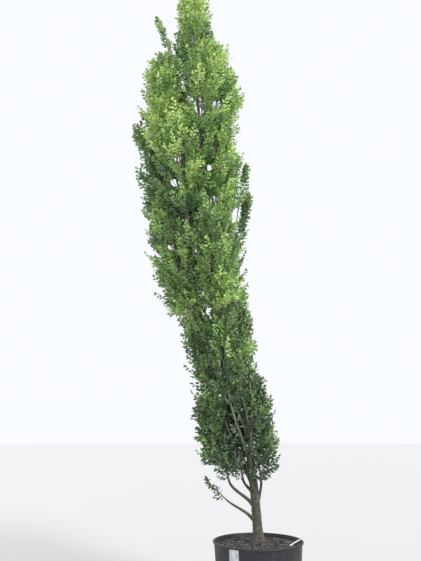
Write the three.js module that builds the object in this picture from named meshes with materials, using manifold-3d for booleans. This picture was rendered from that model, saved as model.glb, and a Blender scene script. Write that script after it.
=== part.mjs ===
// A columnar beech standing in a round container: trunk, boughs, masses of foliage and the pot.
// Millimetres, +Z up, origin at the middle of the pot's flat underside, +X right, -Y towards the viewer.

import * as THREE from "three";
import { mergeVertices } from "three/addons/utils/BufferGeometryUtils.js";
import Module from "manifold-3d";

const wasm = await Module();
wasm.setup();

// Driving dimensions of the pot
const POT_HEIGHT = 585;
const POT_FOOT_RADIUS = 370;
const POT_WALL_RADIUS = 414;
const POT_WALL = 6;
const POT_BEVEL = 8;
const RIM_RADIUS = 425;
const RIM_DEPTH = 16;
const RIM_BEVEL = 4;
const POT_SEGMENTS = 32;

// Driving dimensions of the potting mix
const SOIL_EDGE = 546;
const SOIL_TOP = 564;
const SOIL_FLAT_RADIUS = 95;
const SOIL_RINGS = 4;
const SOIL_LUMP = 9;
const SOIL_LUMP_WIDTH = 61;
const SOIL_LUMP_DEPTH = 47;

// Clear gap between pieces that touch
const TOUCH = 0.3;

// Driving dimensions of the label and the tag
const LABEL_WIDTH = 100;
const LABEL_HEIGHT = 130;
const LABEL_THICKNESS = 1.6;
const LABEL_BELOW_RIM = 2;
const LABEL_TURN = 234;
const TAG_LENGTH = 205;
const TAG_WIDTH = 22;
const TAG_THICKNESS = 1.6;
const TAG_TURN = 52;
const TAG_FOOT_TURN = -24;
const TAG_FOOT_RADIUS = 310;
const TAG_CLEARANCE = 2;

// Driving dimensions of the trunk, which runs up through the crown as its leader. Its middle line is
// given as sideways place and height, and sways a little to the front and back.
const TRUNK_LINE = [
  [10, 520],
  [-20, 968],
  [-53, 1287],
  [-100, 1880],
  [-215, 2690],
  [-400, 3560],
  [-520, 4490],
  [-590, 5250],
  [-640, 6050],
  [-657, 6560],
];
const TRUNK_TOP = TRUNK_LINE.at(-1)[1];
const TRUNK_SWAY = 22;
const TRUNK_SWAY_LENGTH = 620;
const TRUNK_SIDES = 10;
const TRUNK_STEPS = 22;
const TRUNK_FOOT_RADIUS = 47;
const TRUNK_FORK_RADIUS = 38;
const TRUNK_FORK_HEIGHT = 1287;
const TRUNK_FORK_LENGTH = 140;
const LEADER_FOOT_RADIUS = 19;
const LEADER_TIP_RADIUS = 10;
const FLARE = 17;
const FLARE_FADE = 60;
const FLARE_LOBES = 5;
const FLARE_LOBE_SHARE = 0.45;
const CUT_BLOCK = 400;

// Driving dimensions of the boughs. The handles shape each bough's bend, as shares of its reach.
const BOUGH_SHARE = 0.42;
const BOUGH_LEAST_RADIUS = 10;
const BOUGH_SIDES = 5;
const BOUGH_STEP = 340;
const BOUGH_LEAVING_HANDLE = 0.4;
const BOUGH_ENDING_HANDLE = 0.28;
const BOUGH_TAPER = 0.8;

// Middle line of the crown, as sideways place and height
const CROWN_LINE = [
  [-90, 950],
  [-175, 1500],
  [-270, 2050],
  [-345, 2500],
  [-520, 3000],
  [-605, 3500],
  [-655, 4200],
  [-690, 4850],
  [-640, 5500],
  [-640, 6100],
  [-650, 7120],
];

// Tiers of foliage from the lowest to the top. Each mass has its turn in degrees round the crown's middle
// line, how far it is lifted if not level with its tier, the height where its bough leaves the trunk, and
// how far the bough spreads and to which side.
const TIERS = [
  {
    name: "lowest", height: 1550, out: 190, halfWidth: 205, halfHeight: 490,
    masses: {
      left: { turn: 186, from: 865, spread: 0.6 },
      back: { turn: 95, from: 940, spread: 0.6 },
      right: { turn: 14, from: 890, spread: 0.5 },
    },
  },
  {
    name: "lower", height: 2310, out: 155, halfWidth: 210, halfHeight: 640,
    masses: {
      left: { turn: 182, from: 1060, spread: 0.45 },
      front: { turn: 262, from: 1150, spread: 0.45 },
      back: { turn: 95, from: 1110, spread: 0.45 },
    },
  },
  {
    name: "middle", height: 3280, out: 250, halfWidth: 290, halfHeight: 640,
    masses: {
      front_left: { turn: 214, from: 1450, spread: 0.25 },
      front_right: { turn: 303, from: 1340, spread: 0.2 },
      back_right: { turn: 36, from: 1260, spread: 0.25 },
      back_left: { turn: 123, from: 1560, spread: 0.25 },
    },
  },
  {
    name: "upper", height: 4160, out: 280, halfWidth: 305, halfHeight: 660,
    masses: {
      left: { turn: 166, from: 2080, spread: 0.35 },
      front: { turn: 256, from: 2240, spread: 0.35, leaving: 235 },
      right: { turn: 341, from: 2420, spread: 0.35 },
      back: { turn: 77, from: 2580, spread: 0.35, leaving: 115 },
    },
  },
  {
    name: "shoulder", height: 5050, out: 295, halfWidth: 310, halfHeight: 650,
    masses: {
      front_left: { turn: 210, lift: -40, from: 3250, spread: 0.4 },
      front_right: { turn: 300, lift: 60, from: 3760, spread: 0.4, leaving: 255 },
      back_right: { turn: 28, from: 3560, spread: 0.4 },
      back_left: { turn: 120, lift: -170, from: 3660, spread: 0.4 },
    },
  },
  {
    name: "spire", height: 6080, out: 85, halfWidth: 175, halfHeight: 610,
    masses: {
      front: { turn: 255, from: 5000, spread: 0.4 },
      back: { turn: 75, from: 5130, spread: 0.4 },
    },
  },
];
const MASS_LEAN = 0.07;
const MASS_SLOPE_SPAN = 100;

// Lone shoots that stand out of the crown's outline, each from its foot to its tip
const SHOOTS = [
  { name: "low", foot: [-285, 940], tip: [-500, 1135], depth: -50, halfWidth: 90, from: 720 },
  { name: "inner_right", foot: [15, 1580], tip: [-200, 2960], depth: -60, halfWidth: 122, from: 985 },
  { name: "right", foot: [-150, 3900], tip: [-62, 4390], depth: -20, halfWidth: 80, from: 3140 },
  { name: "lower_right", foot: [-150, 3480], tip: [-40, 4130], depth: 60, halfWidth: 80, from: 2680 },
  { name: "left", foot: [-1110, 4330], tip: [-1240, 4930], depth: -90, halfWidth: 110, from: 3400 },
  { name: "top_left", foot: [-880, 5800], tip: [-1085, 6350], depth: -40, halfWidth: 80, from: 5330 },
];
const SHOOT_SPREAD = 0.55;
const TOP_HALF_WIDTH = 160;

// How a space ends: the power that blunts its spindle, the squatness of the bounds between neighbours,
// and the clear gaps to a bound and to a limb
const SPACE_BLUNTNESS = 2.7;
const SPACE_SQUAT = 0.42;
const SPACE_GAP = 3;
const LIMB_GAP = 2;

// Driving dimensions of the foliage. Shares run along a stem, twig or leaf, and angles are in degrees.
// The twigs steepen up a stem by a power, quickly at first.
const STEM_FOOT_RADIUS = 11;
const STEM_TIP_RADIUS = 8;
const STEM_SIDES = 3;
const STEM_SHARES = [-0.9, 0.9];
const TWIGS = 10;
const TWIG_RADIUS = 6;
const TWIG_TAPER = 0.75;
const TWIG_SIDES = 3;
const TWIG_OFFSET = 0.6;
const TWIG_SPREADS = [95, 28];
const TWIG_STEEPENING = 0.5;
const TWIG_SPREAD_VARIATION = 6;
const TWIG_LONGEST = 700;
const TWIG_LEAST = 30;
const TWIG_REACHES = [0.7, 0.85, 1];
const OUTER_TURN = 125;
const GOLDEN_SHARE = (Math.sqrt(5) - 1) / 2;
const SLIM_HALF_WIDTH = 120;
const SLIM_TWIGS = 5;
const SLIM_SHARE = 0.7;
const SIDE_LEAF_SHARES = [0.3, 0.8];
const SIDE_LEAF_SPREADS = [42, 58];
const SIDE_LEAF_TWIST = 25;
const TIP_LEAF_TWIST = 35;
const LEAF_TO_WIDTH = 1.15;
const LEAF_LENGTHS = [95, 300];
const LEAF_FITS = [1.15, 1, 0.85, 0.7];
const LEAF_WIDTH = 0.68;
const LEAF_WIDEST = 0.45;
const LEAF_THICKNESS = 6;
const SIDE_LEAF_SINK = 3;
const TIP_LEAF_SINK = 10;
const CREST_SINK = 0.8;

const radians = THREE.MathUtils.degToRad;
const { clamp, lerp, mapLinear, smoothstep } = THREE.MathUtils;

// Materials
const bark = new THREE.MeshStandardMaterial({ color: 0x8b8a6b, roughness: 0.85, metalness: 0 });
const foliage = new THREE.MeshStandardMaterial({ color: 0x4f7a2c, roughness: 0.6, metalness: 0 });
const blackPlastic = new THREE.MeshStandardMaterial({ color: 0x1f1c22, roughness: 0.55, metalness: 0 });
const pottingMix = new THREE.MeshStandardMaterial({ color: 0x3a2c26, roughness: 0.95, metalness: 0 });
const whitePlastic = new THREE.MeshStandardMaterial({ color: 0xe9e8e2, roughness: 0.5, metalness: 0 });

// Solids for cutting and joining

function toSolid(geometry) {
  const bare = geometry.index ? geometry.toNonIndexed() : geometry.clone();
  bare.deleteAttribute("normal");
  bare.deleteAttribute("uv");
  const merged = mergeVertices(bare, 1e-3);
  const vertProperties = merged.attributes.position.array;
  const triVerts = new Uint32Array(merged.index.array);
  return new wasm.Manifold(new wasm.Mesh({ numProp: 3, vertProperties, triVerts }));
}

function toGeometry(solid) {
  const { vertProperties, triVerts } = solid.getMesh();
  const geometry = new THREE.BufferGeometry();
  geometry.setAttribute("position", new THREE.BufferAttribute(new Float32Array(vertProperties), 3));
  geometry.setIndex(new THREE.BufferAttribute(new Uint32Array(triVerts), 1));
  geometry.computeVertexNormals();
  return geometry;
}

function largestBody(solid) {
  return solid.decompose().reduce((most, body) => (body.volume() > most.volume() ? body : most));
}

function namedMesh(name, geometry, material) {
  const mesh = new THREE.Mesh(geometry, material);
  mesh.name = name;
  return mesh;
}

// Numbers that vary from shoot to shoot but never from one run to the next
function seededVariation(seed) {
  const most = 2147483647;
  let state = seed * 104729;
  return (low, high) => {
    state = (state * 48271) % most;
    return low + ((high - low) * state) / most;
  };
}

// A tapering limb along a curve, closed at both ends. `radiusAt` takes the share of the length and the angle.
function limbGeometry(curve, radiusAt, sides, steps) {
  const tube = new THREE.CylinderGeometry(1, 1, 1, sides, steps);
  const place = tube.attributes.position;
  const runsInDepth = Math.abs(curve.getTangentAt(0).y) > 0.8;
  const reference = runsInDepth ? new THREE.Vector3(1, 0, 0) : new THREE.Vector3(0, 1, 0);
  for (let i = 0; i < place.count; i++) {
    const share = place.getY(i) + 0.5;
    const tangent = curve.getTangentAt(share);
    const across = reference.clone().addScaledVector(tangent, -reference.dot(tangent)).normalize();
    const along = new THREE.Vector3().crossVectors(across, tangent);
    const radius = radiusAt(share, Math.atan2(place.getZ(i), place.getX(i)));
    const point = curve.getPointAt(share);
    point.addScaledVector(across, place.getX(i) * radius);
    point.addScaledVector(along, place.getZ(i) * radius);
    place.setXYZ(i, point.x, point.y, point.z);
  }
  return tube;
}

// Lathe parts are drawn as radius and height, then stood upright
function turned(profile, segments) {
  const points = profile.map(([radius, height]) => new THREE.Vector2(radius, height));
  return new THREE.LatheGeometry(points, segments).rotateX(Math.PI / 2);
}

// Container: a moulded shell with a slightly flared wall and a rolled rim

function wallRadius(height) {
  return lerp(POT_FOOT_RADIUS, POT_WALL_RADIUS, height / POT_HEIGHT);
}

function innerRadius(height) {
  return wallRadius(height) - POT_WALL;
}

function makePot() {
  const rimFoot = POT_HEIGHT - RIM_DEPTH;
  const profile = [
    [0, 0],
    [POT_FOOT_RADIUS - POT_BEVEL, 0],
    [wallRadius(POT_BEVEL), POT_BEVEL],
    [wallRadius(rimFoot), rimFoot],
    [RIM_RADIUS, rimFoot],
    [RIM_RADIUS, POT_HEIGHT - RIM_BEVEL],
    [RIM_RADIUS - RIM_BEVEL, POT_HEIGHT],
    [innerRadius(POT_HEIGHT) + RIM_BEVEL, POT_HEIGHT],
    [innerRadius(POT_HEIGHT), POT_HEIGHT - RIM_BEVEL],
    [innerRadius(POT_WALL), POT_WALL],
    [0, POT_WALL],
  ];
  return namedMesh("pot", turned(profile, POT_SEGMENTS), blackPlastic);
}

// Potting mix: fills the pot to a little under the rim, lumpy but flat round the trunk's foot

function soilHeight(x, y) {
  const outward = (Math.hypot(x, y) - SOIL_FLAT_RADIUS) / (innerRadius(SOIL_TOP) - SOIL_FLAT_RADIUS);
  const share = clamp(outward, 0, 1);
  const lump = Math.sin(Math.PI * share) * Math.sin(x / SOIL_LUMP_WIDTH + 1) * Math.cos(y / SOIL_LUMP_DEPTH);
  return lerp(SOIL_TOP, SOIL_EDGE, share) + SOIL_LUMP * lump;
}

function makePottingMix() {
  const reach = (height) => innerRadius(height) - TOUCH;
  const floor = POT_WALL + TOUCH;
  const profile = [[0, floor], [reach(floor), floor]];
  for (let ring = 0; ring <= SOIL_RINGS; ring++) {
    profile.push([lerp(reach(SOIL_EDGE), SOIL_FLAT_RADIUS, ring / SOIL_RINGS), SOIL_EDGE]);
  }
  profile.push([0, SOIL_EDGE]);
  const mix = turned(profile, POT_SEGMENTS);
  const place = mix.attributes.position;
  for (let i = 0; i < place.count; i++) {
    const onTop = place.getZ(i) > SOIL_EDGE - 1;
    if (onTop) place.setZ(i, soilHeight(place.getX(i), place.getY(i)));
  }
  return namedMesh("potting_mix", mix, pottingMix);
}

// Blank label: a thin plate that follows the pot's wall just under the rim

function makeLabel() {
  const top = POT_HEIGHT - RIM_DEPTH - LABEL_BELOW_RIM;
  const bottom = top - LABEL_HEIGHT;
  const inside = (height) => wallRadius(height) + TOUCH;
  const profile = [
    [inside(bottom), bottom],
    [inside(bottom) + LABEL_THICKNESS, bottom],
    [inside(top) + LABEL_THICKNESS, top],
    [inside(top), top],
    [inside(bottom), bottom],
  ];
  const band = toSolid(turned(profile, POT_SEGMENTS));
  const window = new THREE.BoxGeometry(RIM_RADIUS * 2, LABEL_WIDTH, POT_HEIGHT * 2);
  window.translate(RIM_RADIUS, 0, 0);
  window.rotateZ(radians(LABEL_TURN));
  return namedMesh("blank_label", toGeometry(band.intersect(toSolid(window))), whitePlastic);
}

// Blank tag: a flat strip that lies with its foot on the potting mix and its back on the rim

function makeTag() {
  const pivot = new THREE.Vector2(0, 0);
  const foot = new THREE.Vector2(TAG_FOOT_RADIUS, 0).rotateAround(pivot, radians(TAG_FOOT_TURN));
  const heading = new THREE.Vector2(1, 0).rotateAround(pivot, radians(TAG_TURN));
  const outerEdge = foot.clone().addScaledVector(new THREE.Vector2(heading.y, -heading.x), TAG_WIDTH / 2);
  const outward = outerEdge.dot(heading);
  const toRim = Math.sqrt(outward ** 2 + innerRadius(POT_HEIGHT) ** 2 - outerEdge.lengthSq()) - outward;
  const footHeight = soilHeight(foot.x, foot.y) + TAG_CLEARANCE;
  const slope = Math.atan2(POT_HEIGHT + TAG_CLEARANCE / 2 - footHeight, toRim);
  const strip = new THREE.BoxGeometry(TAG_LENGTH, TAG_WIDTH, TAG_THICKNESS);
  strip.translate(TAG_LENGTH / 2, 0, TAG_THICKNESS / 2 + TOUCH);
  const tag = namedMesh("blank_tag", strip, whitePlastic);
  tag.rotation.y = -slope;
  const swung = new THREE.Group();
  swung.add(tag);
  swung.rotation.z = radians(TAG_TURN);
  swung.position.set(foot.x, foot.y, footHeight);
  return swung;
}

// Trunk: one leader from a flat cut on the potting mix to its tip, leaning left, with a lobed root flare

const trunkCurve = new THREE.CatmullRomCurve3(
  TRUNK_LINE.map(([x, z]) => {
    const sway = TRUNK_SWAY * Math.sin(z / TRUNK_SWAY_LENGTH) * (z / TRUNK_TOP);
    return new THREE.Vector3(x, sway, z);
  }),
  false,
  "centripetal",
);

function trunkRadius(height) {
  const low = mapLinear(height, SOIL_TOP, TRUNK_FORK_HEIGHT, TRUNK_FOOT_RADIUS, TRUNK_FORK_RADIUS);
  const high = mapLinear(height, TRUNK_FORK_HEIGHT, TRUNK_TOP, LEADER_FOOT_RADIUS, LEADER_TIP_RADIUS);
  const pastFork = smoothstep(height, TRUNK_FORK_HEIGHT, TRUNK_FORK_HEIGHT + TRUNK_FORK_LENGTH);
  return lerp(low, high, pastFork);
}

function flareAt(height, angle) {
  const fade = Math.exp(-Math.max(height - SOIL_TOP, 0) / FLARE_FADE);
  return FLARE * fade * (1 + FLARE_LOBE_SHARE * Math.cos(FLARE_LOBES * angle));
}

function makeTrunkSolid(grow) {
  const radiusAt = (share, angle) => {
    const height = trunkCurve.getPointAt(share).z;
    return trunkRadius(height) + flareAt(height, angle) + grow;
  };
  const whole = toSolid(limbGeometry(trunkCurve, radiusAt, TRUNK_SIDES, TRUNK_STEPS));
  const below = new THREE.BoxGeometry(CUT_BLOCK, CUT_BLOCK, CUT_BLOCK);
  below.translate(0, 0, SOIL_TOP + TOUCH - CUT_BLOCK / 2);
  return whole.subtract(toSolid(below));
}

function trunkAt(height) {
  let low = 0;
  let high = 1;
  for (let i = 0; i < 30; i++) {
    const middle = (low + high) / 2;
    if (trunkCurve.getPointAt(middle).z < height) low = middle;
    else high = middle;
  }
  return { point: trunkCurve.getPointAt(low), tangent: trunkCurve.getTangentAt(low) };
}

// Spaces: each mass of foliage keeps to a blunt spindle, cut by flat bounds half way to its neighbours

function crownAt(height) {
  const next = CROWN_LINE.findIndex(([, z]) => z >= height);
  const [x0, z0] = CROWN_LINE[next - 1];
  const [x1, z1] = CROWN_LINE[next];
  return new THREE.Vector3(mapLinear(height, z0, z1, x0, x1), 0, height);
}

function massSpace(tier, place, { turn, lift = 0, ...bough }) {
  const height = tier.height + lift;
  const outward = new THREE.Vector3(Math.cos(radians(turn)), Math.sin(radians(turn)), 0);
  const upward = crownAt(height + MASS_SLOPE_SPAN).sub(crownAt(height - MASS_SLOPE_SPAN));
  return {
    name: tier.name + "_" + place,
    centre: crownAt(height).addScaledVector(outward, tier.out),
    axis: upward.normalize().addScaledVector(outward, MASS_LEAN).normalize(),
    halfWidth: tier.halfWidth,
    halfHeight: tier.halfHeight,
    bough: { leaving: turn, ...bough },
  };
}

function shootSpace({ name, foot, tip, depth, halfWidth, from }) {
  const low = new THREE.Vector3(foot[0], depth, foot[1]);
  const high = new THREE.Vector3(tip[0], depth, tip[1]);
  return {
    name: name + "_shoot",
    centre: low.clone().lerp(high, 0.5),
    axis: high.clone().sub(low).normalize(),
    halfWidth,
    halfHeight: low.distanceTo(high) / 2,
    bough: { from, spread: SHOOT_SPREAD },
  };
}

function topSpace() {
  const [footX, footZ] = TRUNK_LINE.at(-1);
  const [tipX, tipZ] = CROWN_LINE.at(-1);
  const foot = new THREE.Vector3(footX, 0, footZ);
  const tip = new THREE.Vector3(tipX, 0, tipZ);
  return {
    name: "top",
    centre: foot.clone().lerp(tip, 0.5),
    axis: tip.clone().sub(foot).normalize(),
    halfWidth: TOP_HALF_WIDTH,
    halfHeight: foot.distanceTo(tip) / 2,
  };
}

const massSpaces = TIERS.flatMap((tier) =>
  Object.entries(tier.masses).map(([place, mass]) => massSpace(tier, place, mass)),
);
const spaces = [...massSpaces, ...SHOOTS.map(shootSpace), topSpace()];

function squatDistance(point, space) {
  const out = point.clone().sub(space.centre);
  out.z *= SPACE_SQUAT;
  return out.lengthSq() - space.halfWidth ** 2;
}

function isOnOwnSide(point, space, other) {
  const apart = other.centre.clone().sub(space.centre);
  apart.z *= SPACE_SQUAT ** 2;
  const toBound = (squatDistance(point, other) - squatDistance(point, space)) / (2 * apart.length());
  return toBound > SPACE_GAP;
}

function inSpace(point, space) {
  const out = point.clone().sub(space.centre);
  const along = out.dot(space.axis);
  const across = out.addScaledVector(space.axis, -along).length();
  const widthShare = (across / space.halfWidth) ** SPACE_BLUNTNESS;
  const heightShare = Math.abs(along / space.halfHeight) ** SPACE_BLUNTNESS;
  if (widthShare + heightShare > 1) return false;
  return spaces.every((other) => other === space || isOnOwnSide(point, space, other));
}

// The stem of a mass runs along its space's axis, from the lowest point that lies inside
function stemOf(space) {
  const step = 0.01;
  const at = (share) => space.centre.clone().addScaledVector(space.axis, share * space.halfHeight);
  let [low, high] = STEM_SHARES;
  while (!inSpace(at(low), space)) low += step;
  while (!inSpace(at(high), space)) high -= step;
  return { foot: at(low), tip: at(high) };
}

// Boughs: each leaves the trunk, curves upright and ends in a flat cut where its mass begins

// The slim lone shoots have thinner limbs and twigs than the full masses, and their twigs spread less
function slimness(space) {
  return space.halfWidth < SLIM_HALF_WIDTH ? SLIM_SHARE : 1;
}

function makeBough(space, grow) {
  const { from, spread, leaving } = space.bough;
  const start = trunkAt(from);
  const { foot } = stemOf(space);
  const reach = foot.distanceTo(start.point);
  const outward = foot.clone().sub(start.point).setZ(0).normalize();
  if (leaving !== undefined) outward.set(Math.cos(radians(leaving)), Math.sin(radians(leaving)), 0);
  const heading = start.tangent.clone().addScaledVector(outward, spread).normalize();
  const curve = new THREE.CubicBezierCurve3(
    start.point,
    start.point.clone().addScaledVector(heading, reach * BOUGH_LEAVING_HANDLE),
    foot.clone().addScaledVector(space.axis, -reach * BOUGH_ENDING_HANDLE),
    foot,
  );
  const footRadius = Math.max(BOUGH_SHARE * trunkRadius(from), BOUGH_LEAST_RADIUS);
  const tipRadius = STEM_FOOT_RADIUS * slimness(space);
  const radiusAt = (share) => lerp(footRadius, tipRadius, share ** BOUGH_TAPER) + grow;
  const steps = Math.ceil(reach / BOUGH_STEP) + 2;
  return toSolid(limbGeometry(curve, radiusAt, BOUGH_SIDES, steps));
}

const trunkSolid = makeTrunkSolid(0);
const trunkWithGap = makeTrunkSolid(TOUCH);
const boughSpaces = spaces.filter((space) => space.bough);
const boughSolids = boughSpaces.map((space) => largestBody(makeBough(space, 0).subtract(trunkWithGap)));

// Foliage: twigs leave a mass's stem by the golden turn, and each carries leaves on alternate sides

function twigSolid(from, to, footRadius, tipRadius, sides) {
  const radiusAt = (share) => lerp(footRadius, tipRadius, share);
  return toSolid(limbGeometry(new THREE.LineCurve3(from, to), radiusAt, sides, 1));
}

function leafSolid(root, direction, normal, length) {
  const leaf = new THREE.OctahedronGeometry(1);
  const place = leaf.attributes.position;
  const across = new THREE.Vector3().crossVectors(direction, normal).normalize();
  for (let i = 0; i < place.count; i++) {
    const [side, lengthways, thick] = [place.getX(i), place.getY(i), place.getZ(i)];
    const share = lengthways === 0 ? LEAF_WIDEST : (lengthways + 1) / 2;
    const point = root.clone().addScaledVector(direction, share * length);
    point.addScaledVector(across, (side * length * LEAF_WIDTH) / 2);
    point.addScaledVector(normal, (thick * LEAF_THICKNESS) / 2);
    place.setXYZ(i, point.x, point.y, point.z);
  }
  return toSolid(leaf);
}

function cornersOf(solid) {
  const { vertProperties } = solid.getMesh();
  const corners = [];
  for (let i = 0; i < vertProperties.length; i += 3) {
    corners.push(new THREE.Vector3().fromArray(vertProperties, i));
  }
  return corners;
}

const limbsWithGap = boughSpaces
  .map((space) => makeBough(space, LIMB_GAP))
  .reduce((all, bough) => all.add(bough), makeTrunkSolid(LIMB_GAP));

function crosses(solid, other) {
  return !solid.intersect(other).isEmpty();
}

function fits(solid, space) {
  return cornersOf(solid).every((corner) => inSpace(corner, space)) && !crosses(solid, limbsWithGap);
}

// The direction square to a mass's stem that looks out of the crown, turned round the stem by `angle`
function turnedOutward(space, angle) {
  const outward = space.centre.clone().sub(crownAt(space.centre.z)).setZ(0);
  if (outward.length() < 1) outward.set(1, 0, 0);
  outward.addScaledVector(space.axis, -outward.dot(space.axis)).normalize();
  return outward.applyAxisAngle(space.axis, angle);
}

// How far a straight line from `from` stays inside the space
function roomAlong(from, direction, space) {
  const step = 10;
  const isInside = (reach) => inSpace(from.clone().addScaledVector(direction, reach), space);
  let room = 0;
  while (room < TWIG_LONGEST && isInside(room + step)) room += step;
  return room;
}

// A twig's direction and the normal of its leaves, by its place in the row of twigs up the stem
function twigHeading(space, share, golden, vary) {
  const outward = turnedOutward(space, radians(OUTER_TURN * (2 * golden - 1)));
  const variation = vary(-TWIG_SPREAD_VARIATION, TWIG_SPREAD_VARIATION);
  const spread = radians(lerp(...TWIG_SPREADS, share ** TWIG_STEEPENING) * slimness(space) + variation);
  const direction = space.axis.clone().multiplyScalar(Math.cos(spread));
  direction.addScaledVector(outward, Math.sin(spread));
  const sideways = new THREE.Vector3().crossVectors(direction, outward).normalize();
  const flat = new THREE.Vector3().crossVectors(sideways, direction).normalize();
  flat.applyAxisAngle(direction, radians(vary(-TIP_LEAF_TWIST, TIP_LEAF_TWIST)));
  return { direction, flat };
}

function growFoliage(space, seed) {
  const vary = seededVariation(seed);
  const { foot, tip } = stemOf(space);
  const start = foot.clone().addScaledVector(space.axis, TOUCH);
  const slim = slimness(space);
  const twigRadius = TWIG_RADIUS * slim;
  const stemRadius = space.bough ? STEM_FOOT_RADIUS * slim : LEADER_TIP_RADIUS;
  const leafLength = clamp(space.halfWidth * LEAF_TO_WIDTH, ...LEAF_LENGTHS);
  let mass = twigSolid(start, tip, stemRadius, STEM_TIP_RADIUS * slim, STEM_SIDES);
  let blades = null;

  const isFree = (solid) => fits(solid, space) && !(blades && crosses(solid, blades));
  const leafThatFits = (root, heading, normal) =>
    LEAF_FITS.map((fit) => leafSolid(root, heading, normal, leafLength * fit)).find(isFree);
  const addLeaf = (blade) => {
    blades = blades ? blades.add(blade) : blade;
    mass = mass.add(blade);
  };

  const twigs = slim < 1 ? SLIM_TWIGS : TWIGS;
  const firstShare = vary(0, 1);
  for (let twig = 0; twig < twigs; twig++) {
    const share = (twig + TWIG_OFFSET) / twigs;
    const from = start.clone().lerp(tip, share);
    const golden = (firstShare + twig * GOLDEN_SHARE) % 1;
    const { direction, flat } = twigHeading(space, share, golden, vary);
    const room = roomAlong(from, direction, space);
    const tries = TWIG_REACHES.map((reach) => {
      const length = Math.max(room - leafLength * reach, TWIG_LEAST);
      const end = from.clone().addScaledVector(direction, length);
      const root = end.clone().addScaledVector(direction, -TIP_LEAF_SINK);
      return { end, tipLeaf: leafThatFits(root, direction, flat) };
    });
    const { end, tipLeaf } = tries.find((attempt) => attempt.tipLeaf) ?? {};
    if (!tipLeaf) continue;
    const wood = twigSolid(from, end, twigRadius, twigRadius * TWIG_TAPER, TWIG_SIDES);
    if (!isFree(wood)) continue;
    mass = mass.add(wood);
    addLeaf(tipLeaf);
    SIDE_LEAF_SHARES.forEach((onTwig, leaf) => {
      const side = leaf % 2 ? -1 : 1;
      const heading = direction.clone().applyAxisAngle(flat, side * radians(vary(...SIDE_LEAF_SPREADS)));
      const root = from.clone().lerp(end, onTwig).addScaledVector(heading, -SIDE_LEAF_SINK);
      const normal = flat.clone().applyAxisAngle(heading, radians(vary(-SIDE_LEAF_TWIST, SIDE_LEAF_TWIST)));
      const sideLeaf = leafThatFits(root, heading, normal);
      if (sideLeaf) addLeaf(sideLeaf);
    });
  }

  const crestRoot = tip.clone().addScaledVector(space.axis, -CREST_SINK * leafLength);
  const crest = leafThatFits(crestRoot, space.axis, turnedOutward(space, vary(0, Math.PI)));
  if (crest) addLeaf(crest);
  return largestBody(mass);
}

// Assembly
const columnarBeech = new THREE.Group();
columnarBeech.add(makePot(), makePottingMix(), makeLabel(), makeTag());
columnarBeech.add(namedMesh("trunk", toGeometry(trunkSolid), bark));
boughSpaces.forEach((space, index) => {
  columnarBeech.add(namedMesh(space.name + "_bough", toGeometry(boughSolids[index]), bark));
});
spaces.forEach((space, index) => {
  columnarBeech.add(namedMesh(space.name + "_foliage", toGeometry(growFoliage(space, index + 1)), foliage));
});

export default columnarBeech;
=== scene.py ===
# A columnar beech in a round nursery container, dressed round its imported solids.
# Metres, +Z up, origin at the middle of the pot's flat underside, +X right, -Y towards the viewer.

import math
import random

import bpy
import numpy as np
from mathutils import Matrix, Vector, noise
from mathutils.bvhtree import BVHTree


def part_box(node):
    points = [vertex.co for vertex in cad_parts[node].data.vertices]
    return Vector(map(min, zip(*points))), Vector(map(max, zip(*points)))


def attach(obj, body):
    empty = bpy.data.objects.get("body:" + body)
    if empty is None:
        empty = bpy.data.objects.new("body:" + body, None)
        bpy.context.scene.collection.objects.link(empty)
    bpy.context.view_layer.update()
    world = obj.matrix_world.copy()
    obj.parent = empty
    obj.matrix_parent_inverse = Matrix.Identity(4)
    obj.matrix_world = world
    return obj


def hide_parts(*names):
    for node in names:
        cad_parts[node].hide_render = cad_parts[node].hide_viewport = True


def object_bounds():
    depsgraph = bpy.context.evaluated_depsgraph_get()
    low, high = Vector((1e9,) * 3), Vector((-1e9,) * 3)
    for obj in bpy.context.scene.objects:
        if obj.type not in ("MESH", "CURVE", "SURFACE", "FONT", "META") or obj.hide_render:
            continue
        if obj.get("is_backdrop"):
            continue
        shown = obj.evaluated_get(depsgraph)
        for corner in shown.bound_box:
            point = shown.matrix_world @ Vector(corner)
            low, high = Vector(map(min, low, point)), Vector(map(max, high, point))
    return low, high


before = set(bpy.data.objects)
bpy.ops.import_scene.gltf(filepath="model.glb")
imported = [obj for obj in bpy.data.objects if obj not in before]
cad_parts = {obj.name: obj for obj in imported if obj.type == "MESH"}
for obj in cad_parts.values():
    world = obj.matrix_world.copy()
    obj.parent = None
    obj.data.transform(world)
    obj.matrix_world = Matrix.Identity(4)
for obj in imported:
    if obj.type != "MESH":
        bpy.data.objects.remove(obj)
cad_low, cad_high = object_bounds()


# Container
# A blow-moulded tub of black polythene with a rolled rim, about 250 litres. Its wall leans out so that
# it leaves the mould, two low hoops stiffen it, and the weather has dulled and dusted it.

pot_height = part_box("pot")[1].z
rim_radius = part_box("pot")[1].x
pot_wall = 0.006
foot_radius = 0.370
wall_top_radius = 0.414
rim_depth = 0.016
pot_sides = 128
hoop_depth = 0.022
hoop_proud = 0.003
hoop_slope = 0.004


def wall_radius(height):
    return foot_radius + (wall_top_radius - foot_radius) * height / pot_height


def deselect_all():
    bpy.ops.object.select_all(action="DESELECT")
    bpy.context.view_layer.objects.active = None


def raise_rings(profile):
    """Extrudes the selected round face through (radius, height) steps, as a potter's wall is drawn up."""
    radius, height = profile[0]
    for next_radius, next_height in profile[1:]:
        bpy.ops.mesh.extrude_region_move(TRANSFORM_OT_translate={"value": (0, 0, next_height - height)})
        size = next_radius / radius
        bpy.ops.transform.resize(value=(size, size, 1), center_override=(0, 0, next_height))
        radius, height = next_radius, next_height


def hoop(height):
    """A low moulded band round the wall."""
    top = height + hoop_depth
    return [
        (wall_radius(height), height),
        (wall_radius(height) + hoop_proud, height + hoop_slope),
        (wall_radius(height) + hoop_proud, top - hoop_slope),
        (wall_radius(top), top),
    ]


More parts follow.
